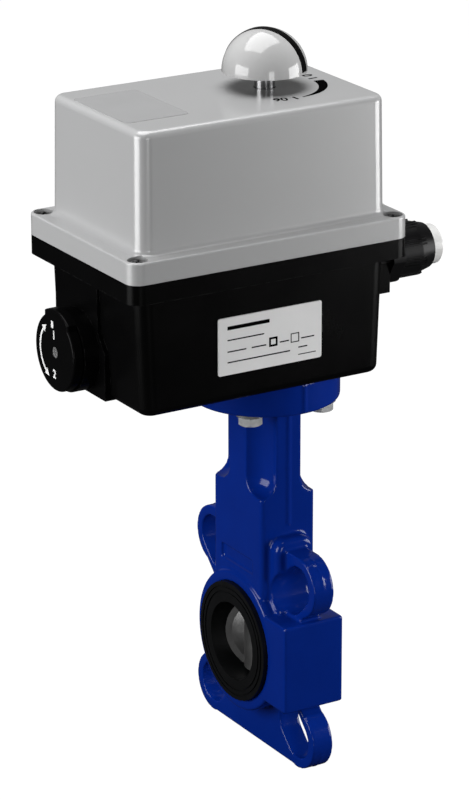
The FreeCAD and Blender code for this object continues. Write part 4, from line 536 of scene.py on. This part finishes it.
# Dial and patch on the cover. The dial is a tapered arc with two marks and plain numbers, printed in black
# round the indicator's shaft. The patch is a thin bare self-adhesive film with rounded corners.
COVER_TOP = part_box("top_cover")[1][2]
INK_BLACK = (0.0022, 0.0022, 0.0022, 1)
INK_DEEP = (0.0016, 0.0016, 0.0016, 1)
# Print reaches a little way into the surface and stands a little proud of it.
PRINT_SUNK = 0.05 * MM
PRINT_PROUD = 0.06 * MM
PRINT_HALF = (PRINT_SUNK + PRINT_PROUD) / 2
PRINT_MIDDLE = (PRINT_PROUD - PRINT_SUNK) / 2
# How much bolder the digits are drawn, and their height as a share of the text's size
NUMBER_BOLD = 0.14 * MM
DIGIT_SHARE = 0.7
CUTTER_HEIGHT = 1.0 * MM
# The outer circle lies off the shaft's axis, which makes the arc taper.
DIAL_INNER = 22.5 * MM
DIAL_OUTER = 22.94 * MM
DIAL_OUTER_CENTRE = Vector((4.18, 0.39)) * MM
DIAL_START = math.radians(-78.0)
DIAL_END = math.radians(-7.0)
# Each mark has its angle in degrees and its inner and outer radius in mm.
DIAL_MARKS = ((3.0, 22.4, 26.6), (-87.0, 20.4, 24.4))
MARK_HALF = 0.5 * MM
# Each number has its place in mm and its turn in degrees.
DIAL_NUMBERS = (("0", (25.2, 6.4), 90.0), ("90", (-5.4, -21.4), -14.0))
DIAL_NUMBER_HEIGHT = 4.4 * MM
FILM_GREY = (0.345, 0.347, 0.350, 1)
FILM_SHADE = (0.330, 0.332, 0.335, 1)
FILM_PROUD = 0.12 * MM
FILM_LOW = (-78.0 * MM, -21.0 * MM, COVER_TOP - PRINT_SUNK)
FILM_HIGH = (-48.0 * MM, 24.0 * MM, COVER_TOP + FILM_PROUD)
FILM_CORNER = 2.5 * MM


def add_disc(name, radius, height, place, sides=160):
    """An upright cylinder, or a prism with few sides, round its middle."""
    deselect_all()
    bpy.ops.mesh.primitive_cylinder_add(vertices=sides, radius=radius, depth=height, location=place)
    disc = bpy.context.object
    disc.name = name
    apply_place()
    return disc


def round_edges(piece, radius, segments, wanted):
    """Rounds the edges whose two ends pass a test."""
    pick(piece)
    bpy.ops.object.mode_set(mode="EDIT")
    bpy.ops.mesh.select_mode(type="EDGE")
    bpy.ops.mesh.select_all(action="DESELECT")
    bpy.ops.object.mode_set(mode="OBJECT")
    for edge in piece.data.edges:
        edge.select = wanted(*(piece.data.vertices[v].co for v in edge.vertices))
    bpy.ops.object.mode_set(mode="EDIT")
    bpy.ops.mesh.bevel(offset=radius, segments=segments)
    bpy.ops.object.mode_set(mode="OBJECT")


def printed_arc(name, inner, outer, outer_centre, start, end):
    """A flat printed band at the origin between two circles, from one angle to another."""
    band = add_disc(name, outer, 2 * PRINT_HALF, (outer_centre[0], outer_centre[1], 0))
    shape_with(band, add_disc("hole", inner, CUTTER_HEIGHT, (0, 0, 0)))
    cut_flat(band, (0, 0, 0), (-math.sin(end), math.cos(end), 0))
    cut_flat(band, (0, 0, 0), (math.sin(start), -math.cos(start), 0))
    return band


def printed_mark(name, angle, inner, outer, half):
    """A straight printed mark at the origin, along one radius."""
    mark = add_block(name, (inner, -half, -PRINT_HALF), (outer, half, PRINT_HALF))
    mark.rotation_euler = (0, 0, angle)
    pick(mark)
    apply_place()
    return mark


def printed_number(digits, height, place, angle):
    """A plain number, centred at a place in the plane of the origin."""
    deselect_all()
    bpy.ops.object.text_add(location=(place[0], place[1], 0), rotation=(0, 0, angle))
    number = bpy.context.object
    number.data.body = digits
    number.data.size = height / DIGIT_SHARE
    number.data.align_x = "CENTER"
    number.data.align_y = "CENTER"
    number.data.extrude = PRINT_HALF
    number.data.offset = NUMBER_BOLD
    number.data.resolution_u = 4
    bpy.ops.object.convert(target="MESH")
    apply_place()
    return bpy.context.object


def settle(piece, matrix):
    """Moves a finished piece to its place and applies it, then merges doubles and turns faces outward."""
    pick(piece)
    piece.matrix_world = matrix
    apply_place()
    bpy.ops.object.mode_set(mode="EDIT")
    bpy.ops.mesh.select_all(action="SELECT")
    bpy.ops.mesh.remove_doubles(threshold=SAME_POINT / 10)
    bpy.ops.mesh.normals_make_consistent(inside=False)
    bpy.ops.object.mode_set(mode="OBJECT")


dial = printed_arc("dial_print", DIAL_INNER, DIAL_OUTER, DIAL_OUTER_CENTRE, DIAL_START, DIAL_END)
dial_parts = []
for degrees, inner, outer in DIAL_MARKS:
    dial_parts.append(printed_mark("mark", math.radians(degrees), inner * MM, outer * MM, MARK_HALF))
for digits, (x, y), degrees in DIAL_NUMBERS:
    dial_parts.append(printed_number(digits, DIAL_NUMBER_HEIGHT, (x * MM, y * MM), math.radians(degrees)))
join_pieces(dial, dial_parts)
settle(dial, Matrix.Translation((0, 0, COVER_TOP + PRINT_MIDDLE)))
dial_ink = finish_material(
    "dial_ink", INK_BLACK, INK_DEEP, rough=(0.40, 0.50), grain=(0.4, 0.001), waves=(5.0, 0.003),
    blotches=6.0, Specular_IOR_Level=0.0)
coat(dial, dial_ink)
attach(dial, "casing")

film = add_block("cover_film", FILM_LOW, FILM_HIGH)
round_edges(film, FILM_CORNER, segments=8,
            wanted=lambda a, b: abs(a.x - b.x) + abs(a.y - b.y) < SAME_POINT)
film_grey = finish_material(
    "film_grey", FILM_GREY, FILM_SHADE, rough=(0.20, 0.26), grain=(0.4, 0.002), waves=(9.0, 0.01),
    blotches=14.0, Specular_IOR_Level=0.6)
coat(film, film_grey)
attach(film, "casing")


# Screws and washers. Headed from steel wire and zinc plated, pale inside the case and under the flange. The
# cover's screws, out in the open, are dull and dark.
ZINC = (0.66, 0.66, 0.66, 1)
ZINC_DULL = (0.46, 0.46, 0.46, 1)
SCREW_GREY = (0.22, 0.22, 0.22, 1)
SCREW_DARK = (0.13, 0.13, 0.13, 1)
zinc_plate = finish_material(
    "zinc_plate", ZINC, ZINC_DULL, rough=(0.12, 0.22), grain=(0.5, 0.006), waves=(3.0, 0.02),
    blotches=3.0, Metallic=0.75)
dress(zinc_plate, "mounting_bolts", "mounting_washers", "plate_screws")
screw_steel = finish_material(
    "screw_steel", SCREW_GREY, SCREW_DARK, rough=(0.20, 0.34), grain=(0.4, 0.004), waves=(2.0, 0.01),
    blotches=2.5, Metallic=1.0)
dress(screw_steel, "cover_screws")


# Rating plate. A silvery self-adhesive plate, stuck on the front of the housing. It is printed in black with
# ruled lines and two boxes.
PLATE = (0.80, 0.80, 0.80, 1)
PLATE_SHADE = (0.75, 0.75, 0.75, 1)
PLATE_CORNER = Vector((-46.0, -39.0, 163.4)) * MM
RULE_PROUD = 0.05 * MM
# In mm from the plate's top left corner: each rule's left end, right end, distance down and width
RULES = (
    (4.4, 24.6, 4.6, 1.60),
    (4.4, 22.0, 9.8, 0.55),
    (4.4, 13.4, 14.8, 0.55),
    (16.0, 23.0, 14.8, 0.55),
    (29.6, 34.0, 14.8, 0.55),
    (40.0, 46.4, 14.8, 0.55),
    (4.4, 34.6, 19.4, 0.55),
    (38.6, 43.0, 18.6, 0.55),
    (38.6, 47.2, 21.8, 0.40),
)
# The same way, each box's left side, distance down, side length and line width
BOXES = ((24.4, 12.0, 4.1, 0.9), (34.9, 12.0, 4.1, 0.4))


def ruled_line(left, right, down, width):
    """A printed line on the plate, measured from its top left corner."""
    low = (left * MM, -RULE_PROUD, -(down + width / 2) * MM)
    high = (right * MM, PRINT_SUNK, -(down - width / 2) * MM)
    return add_block("rule", PLATE_CORNER + Vector(low), PLATE_CORNER + Vector(high))


def ruled_box(left, down, side, width):
    """A square printed as a frame, measured from the plate's top left corner."""
    frame_low = Vector((left * MM, -RULE_PROUD, -(down + side) * MM))
    frame_high = Vector(((left + side) * MM, PRINT_SUNK, -down * MM))
    square = add_block("box", PLATE_CORNER + frame_low, PLATE_CORNER + frame_high)
    inset = Vector((width * MM, -CUTTER_HEIGHT, width * MM))
    shape_with(square, add_block("inside", PLATE_CORNER + frame_low + inset,
                                 PLATE_CORNER + frame_high - inset))
    return square


silver_film = finish_material(
    "silver_film", PLATE, PLATE_SHADE, rough=(0.28, 0.40), grain=(0.4, 0.002), waves=(8.0, 0.01),
    blotches=14.0, Specular_IOR_Level=0.6)
dress(silver_film, "rating_plate")
ruling = [ruled_line(*rule) for rule in RULES] + [ruled_box(*box) for box in BOXES]
plate_ruling = join_pieces(ruling[0], ruling[1:])
plate_ruling.name = "plate_ruling"
coat(plate_ruling, dial_ink)
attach(plate_ruling, "casing")


# Flange bolts. Hexagon bolts of zinc-plated steel, screwed up through the valve's flange into the floor of
# the housing. The head is chamfered at its corners and a little dished, and one flat looks to the front.
BOLT_ZINC = (0.95, 0.96, 0.97, 1)
BOLT_ZINC_DULL = (0.52, 0.53, 0.54, 1)
BOLT_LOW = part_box("mounting_bolts")[0][2]
BOLT_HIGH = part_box("mounting_bolts")[1][2]
BOLT_HEAD_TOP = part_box("mounting_washers")[0][2]
BOLT_OFFSET = 17.68 * MM
BOLT_FLATS = 10.0 * MM
BOLT_TURN = math.radians(30.0)
BOLT_RADIUS = 3.0 * MM
# The cone that chamfers the head starts this far inside the flats. Its flare and its height are shares of
# the head's height.
CROWN_INSET = 0.1 * MM
CROWN_FLARE = 1.2
CROWN_REACH = 1.2
DISH_RADIUS = 3.4 * MM
DISH_DEPTH = 0.35 * MM


def flange_bolt(place):
    """One bolt, with its head down."""
    height = BOLT_HEAD_TOP - BOLT_LOW
    middle = (BOLT_HEAD_TOP + BOLT_LOW) / 2
    head = add_disc("flange_bolts", BOLT_FLATS / math.sqrt(3), height, (0, 0, middle), sides=6)
    head.rotation_euler = (0, 0, BOLT_TURN)
    pick(head)
    apply_place()
    deselect_all()
    bpy.ops.mesh.primitive_cone_add(vertices=64, radius1=BOLT_FLATS / 2 - CROWN_INSET,
                                    radius2=BOLT_FLATS / 2 + height * CROWN_FLARE,
                                    depth=height * CROWN_REACH,
                                    location=(0, 0, BOLT_LOW + height * CROWN_REACH / 2))
    shape_with(head, bpy.context.object, "INTERSECT")
    shape_with(head, add_disc("dish", DISH_RADIUS, 2 * DISH_DEPTH, (0, 0, BOLT_LOW), sides=48))
    shank_height = BOLT_HIGH - BOLT_HEAD_TOP
    shank = add_disc("shank", BOLT_RADIUS, shank_height, (0, 0, BOLT_HEAD_TOP + shank_height / 2), sides=32)
    join_pieces(head, [shank])
    settle(head, Matrix.Translation(place))
    return head


flange_bolts = []
for x in (-BOLT_OFFSET, BOLT_OFFSET):
    for y in (-BOLT_OFFSET, BOLT_OFFSET):
        flange_bolts.append(flange_bolt((x, y, 0)))
bolts = join_pieces(flange_bolts[0], flange_bolts[1:])
bolts.name = "flange_bolts"
pick(bolts)
bpy.ops.object.shade_smooth_by_angle(angle=math.radians(25.0))
bright_zinc = finish_material(
    "bright_zinc", BOLT_ZINC, BOLT_ZINC_DULL, rough=(0.08, 0.16), grain=(0.4, 0.003), waves=(3.0, 0.02),
    blotches=2.0, Metallic=0.45)
coat(bolts, bright_zinc)
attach(bolts, "casing")
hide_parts("mounting_bolts")


# Indicator dome. A half ball of glossy white polymer, moulded hollow and pushed on the top of the output
# shaft. Its underside is coloured dark, as painted shade that deepens the shadow under the dome on the
# cover. A black stripe shows how the disc stands.
DOME_WHITE = (0.44, 0.44, 0.44, 1)
DOME_SHADE = (0.43, 0.43, 0.43, 1)
DOME_PAINTED_SHADE = (0.012, 0.012, 0.012, 1)
DOME_RADIUS = 17.9 * MM
UNDERSIDE_RADIUS = 17.0 * MM
UNDERSIDE_BLEND = 0.2 * MM
STRIPE_BLACK = (0.0022, 0.0022, 0.0022, 1)
STRIPE_DEEP = (0.0016, 0.0016, 0.0016, 1)
STRIPE_ANGLE = math.radians(-50.0)
STRIPE_LEAD = math.radians(4.0)
STRIPE_WIDEN = 1.1

white_gloss = finish_material(
    "white_gloss", DOME_WHITE, DOME_SHADE, rough=(0.08, 0.12), grain=(1.2, 0.001), waves=(12.0, 0.01),
    blotches=12.0, Specular_IOR_Level=0.55)
tree = white_gloss.node_tree
gloss = [node for node in tree.nodes if node.type == "BSDF_PRINCIPLED"][0]
# The inside of the dome is dark: painted shade, so that it throws no light into the shadow on the cover.
place = put(tree, "ShaderNodeTexCoord").outputs["Object"]
dome_centre = Vector((0, 0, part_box("indicator_dome")[1][2] - DOME_RADIUS))
reach = put(tree, "ShaderNodeVectorMath", {0: place, 1: dome_centre}, operation="DISTANCE").outputs["Value"]
outside = put(tree, "ShaderNodeMapRange", {"Value": reach, "From Min": UNDERSIDE_RADIUS - UNDERSIDE_BLEND,
                                           "From Max": UNDERSIDE_RADIUS}).outputs[0]
white = gloss.inputs["Base Color"].links[0].from_socket
tree.links.new(blend_colour(tree, outside, DOME_PAINTED_SHADE, white), gloss.inputs["Base Color"])
dress(white_gloss, "indicator_dome")

black_gloss = finish_material(
    "black_gloss", STRIPE_BLACK, STRIPE_DEEP, rough=(0.30, 0.40), grain=(0.8, 0.002), waves=(6.0, 0.01),
    blotches=8.0, Specular_IOR_Level=0.05)
dress(black_gloss, "indicator_stripe")
# The stripe is turned square, widened, and turned back a little further than the disc.
stripe = copy_of("indicator_stripe", "stripe_film")
settle(stripe, Matrix.Rotation(-STRIPE_ANGLE, 4, "Z"))
settle(stripe, Matrix.Diagonal((1, STRIPE_WIDEN, 1, 1)))
settle(stripe, Matrix.Rotation(STRIPE_ANGLE - STRIPE_LEAD, 4, "Z"))
bpy.ops.object.shade_smooth_by_angle(angle=math.radians(30.0))
coat(stripe, black_gloss)
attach(stripe, "output")
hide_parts("indicator_stripe")


# Cable glands. Black moulded polymer: a threaded body with a hexagon, held in the housing's wall by a locknut
# behind it, and a ribbed dome nut. Both glands are closed with plugs of a pale polymer.
GLAND_BLACK = (0.0062, 0.0062, 0.0066, 1)
GLAND_DEEP = (0.0044, 0.0044, 0.0048, 1)
GLAND_RIB_HIGHLIGHT = (0.040, 0.040, 0.041, 1)
PLUG_WHITE = (0.70, 0.70, 0.69, 1)
PLUG_SHADE = (0.64, 0.64, 0.63, 1)
# The edges of the ribs and hexagons are a lighter grey: a painted highlight.
gland_polymer = finish_material(
    "gland_polymer", GLAND_BLACK, GLAND_DEEP, rough=(0.28, 0.38), grain=(0.5, 0.003), waves=(5.0, 0.01),
    blotches=10.0, painted_highlight=GLAND_RIB_HIGHLIGHT, highlight_reach=0.4, Specular_IOR_Level=0.11)
dress(gland_polymer, "gland_bodies", "gland_nuts", "gland_locknuts")
plug_polymer = finish_material(
    "plug_polymer", PLUG_WHITE, PLUG_SHADE, rough=(0.26, 0.36), grain=(0.6, 0.004), waves=(4.0, 0.01),
    blotches=8.0)
dress(plug_polymer, "blanking_plugs")


# Selector knob. Black moulded polymer, on the end of its shaft. White ink in its face makes an index mark,
# two plain numbers and an arrow between them. A zinc-plated cross-head screw, sunk in the middle, holds it.
# The switches, the motor's end cap and the capacitor's sleeve are of the same polymer.
POLYMER_BLACK = (0.0024, 0.0024, 0.0025, 1)
POLYMER_DEEP = (0.0018, 0.0018, 0.0019, 1)
KNOB_INK = (0.80, 0.80, 0.80, 1)
KNOB_INK_SHADE = (0.72, 0.72, 0.72, 1)
KNOB_CENTRE = Vector((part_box("selector_knob")[0][0], 11.0 * MM, 143.4 * MM))
KNOB_ARC_RADIUS = 12.2 * MM
KNOB_ARC_HALF = 0.55 * MM
KNOB_ARC_START = math.radians(138.0)
KNOB_ARC_END = math.radians(233.0)
ARROW_RADIUS = 1.9 * MM
ARROW_LENGTHEN = 1.25
ARROW_REACH = math.radians(5.0)
INDEX_LOW = (-2.4 * MM, 10.4 * MM)
INDEX_HIGH = (-0.6 * MM, 13.4 * MM)
# Each number has its place on the face in mm.
KNOB_NUMBERS = (("1", (-0.2, 7.4)), ("2", (-0.2, -9.6)))
KNOB_NUMBER_HEIGHT = 3.6 * MM
KNOB_SCREW_RADIUS = 2.5 * MM
KNOB_SCREW_SUNK = 0.35 * MM
KNOB_SCREW_THICKNESS = 1.25 * MM
KNOB_SCREW_ROUNDING = 0.4 * MM
KNOB_SCREW_TURN = math.radians(20.0)
CROSS_HALF_LENGTH = 1.5 * MM
CROSS_HALF_WIDTH = 0.35 * MM
CROSS_DEPTH = 0.8 * MM


def arrow_head(radius, angle, heading):
    """A flat arrow head on the arc: heading is 1 where it points the way that angles grow, or -1."""
    deselect_all()
    bpy.ops.mesh.primitive_cylinder_add(vertices=3, radius=ARROW_RADIUS, depth=2 * PRINT_HALF)
    head = bpy.context.object
    head.scale = (1, ARROW_LENGTHEN, 1)
    apply_place()
    head.rotation_euler = (0, 0, angle if heading > 0 else angle + math.pi)
    head.location = (radius * math.cos(angle), radius * math.sin(angle), 0)
    apply_place()
    return head


black_polymer = finish_material(
    "black_polymer", POLYMER_BLACK, POLYMER_DEEP, rough=(0.20, 0.28), grain=(0.5, 0.003), waves=(5.0, 0.01),
    blotches=10.0, Specular_IOR_Level=0.05)
dress(black_polymer, "selector_knob", "limit_switches", "motor_end_cap", "motor_capacitor")

knob_print = printed_arc("knob_print", KNOB_ARC_RADIUS - KNOB_ARC_HALF, KNOB_ARC_RADIUS + KNOB_ARC_HALF,
                         (0, 0), KNOB_ARC_START, KNOB_ARC_END)
knob_parts = [
    arrow_head(KNOB_ARC_RADIUS, KNOB_ARC_START - ARROW_REACH, -1),
    arrow_head(KNOB_ARC_RADIUS, KNOB_ARC_END + ARROW_REACH, 1),
    add_block("index", (*INDEX_LOW, -PRINT_HALF), (*INDEX_HIGH, PRINT_HALF)),
]
for digits, (x, y) in KNOB_NUMBERS:
    knob_parts.append(printed_number(digits, KNOB_NUMBER_HEIGHT, (x * MM, y * MM), 0.0))
join_pieces(knob_print, knob_parts)
# What is drawn flat at the origin, with its top along +Y, is stood up to face -X.
knob_turn = Matrix(((0, 0, -1), (-1, 0, 0), (0, 1, 0))).to_4x4()
knob_face = KNOB_CENTRE - Vector((PRINT_MIDDLE, 0, 0))
settle(knob_print, Matrix.Translation(knob_face) @ knob_turn)
white_ink = finish_material(
    "white_ink", KNOB_INK, KNOB_INK_SHADE, rough=(0.30, 0.42), grain=(0.3, 0.002), waves=(3.0, 0.003),
    blotches=3.0)
coat(knob_print, white_ink)
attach(knob_print, "knob")

knob_screw = add_disc("knob_screw", KNOB_SCREW_RADIUS, KNOB_SCREW_THICKNESS, (0, 0, 0), sides=48)
round_edges(knob_screw, KNOB_SCREW_ROUNDING, segments=3, wanted=lambda a, b: a.z > 0 and b.z > 0)
for half_x, half_y in ((CROSS_HALF_LENGTH, CROSS_HALF_WIDTH), (CROSS_HALF_WIDTH, CROSS_HALF_LENGTH)):
    shape_with(knob_screw, add_block("slot", (-half_x, -half_y, KNOB_SCREW_THICKNESS / 2 - CROSS_DEPTH),
                                     (half_x, half_y, KNOB_SCREW_THICKNESS)))
screw_centre = KNOB_CENTRE + Vector((KNOB_SCREW_SUNK + KNOB_SCREW_THICKNESS / 2, 0, 0))
screw_turn = Matrix.Rotation(KNOB_SCREW_TURN, 4, "Z")
settle(knob_screw, Matrix.Translation(screw_centre) @ knob_turn @ screw_turn)
bpy.ops.object.shade_smooth_by_angle(angle=math.radians(35.0))
coat(knob_screw, zinc_plate)
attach(knob_screw, "knob")


# Gears, plates and posts inside the case. The motor's pinion, the clutch gear, the posts and the bushes are
# turned from brass, and the rest is cut and pressed from mill steel. The two cams are moulded in red.
BRASS = (0.60, 0.42, 0.16, 1)
BRASS_DULL = (0.45, 0.30, 0.10, 1)
MILL_GREY = (0.50, 0.50, 0.51, 1)
MILL_DARK = (0.34, 0.34, 0.35, 1)
CAM_RED = (0.42, 0.06, 0.03, 1)
CAM_SHADE = (0.30, 0.04, 0.02, 1)
brass = turned_metal("brass", BRASS, BRASS_DULL, rough=(0.22, 0.36))
dress(brass, "motor_pinion", "clutch_gear", "board_posts", "top_bush", "output_bush")
mill_steel = finish_material(
    "mill_steel", MILL_GREY, MILL_DARK, rough=(0.28, 0.44), grain=(0.3, 0.006), waves=(4.0, 0.01),
    blotches=5.0, Metallic=1.0)
dress(mill_steel, "drive_insert", "output_gear", "second_gear", "lower_gear_plate", "upper_gear_plate",
      "lower_pillars", "upper_pillars", "declutch_fork", "selector_spring", "switch_bracket", "motor_can",
      "motor_armature")
cam_polymer = finish_material(
    "cam_polymer", CAM_RED, CAM_SHADE, rough=(0.3, 0.42), grain=(0.5, 0.004), waves=(4.0, 0.01),
    blotches=6.0)
dress(cam_polymer, "limit_cams")


# Electrical parts inside the cover. A transformer with a core of stacked steel sheet and a taped winding
# stands on the upper gear plate. The circuit board, on its posts, carries the terminals.
CORE_GREY = (0.16, 0.16, 0.17, 1)
CORE_DARK = (0.09, 0.09, 0.10, 1)
TAPE_YELLOW = (0.55, 0.36, 0.05, 1)
TAPE_SHADE = (0.42, 0.26, 0.03, 1)
BOARD_GREEN = (0.01, 0.12, 0.04, 1)
BOARD_SHADE = (0.008, 0.08, 0.03, 1)
TERMINAL_GREEN = (0.02, 0.24, 0.06, 1)
TERMINAL_SHADE = (0.015, 0.17, 0.05, 1)
core_steel = finish_material(
    "core_steel", CORE_GREY, CORE_DARK, rough=(0.4, 0.6), grain=(0.35, 0.02), waves=(2.0, 0.01),
    blotches=4.0, Metallic=0.8)
dress(core_steel, "transformer_core")
winding_tape = finish_material(
    "winding_tape", TAPE_YELLOW, TAPE_SHADE, rough=(0.25, 0.35), grain=(0.4, 0.01), waves=(3.0, 0.03),
    blotches=5.0)
dress(winding_tape, "transformer_winding")
board_green = finish_material(
    "board_green", BOARD_GREEN, BOARD_SHADE, rough=(0.2, 0.3), grain=(0.4, 0.004), waves=(3.0, 0.01),
    blotches=4.0)
dress(board_green, "circuit_board")
terminal_green = finish_material(
    "terminal_green", TERMINAL_GREEN, TERMINAL_SHADE, rough=(0.3, 0.42), grain=(0.5, 0.004),
    waves=(3.0, 0.01), blotches=4.0)
dress(terminal_green, "terminal_block")
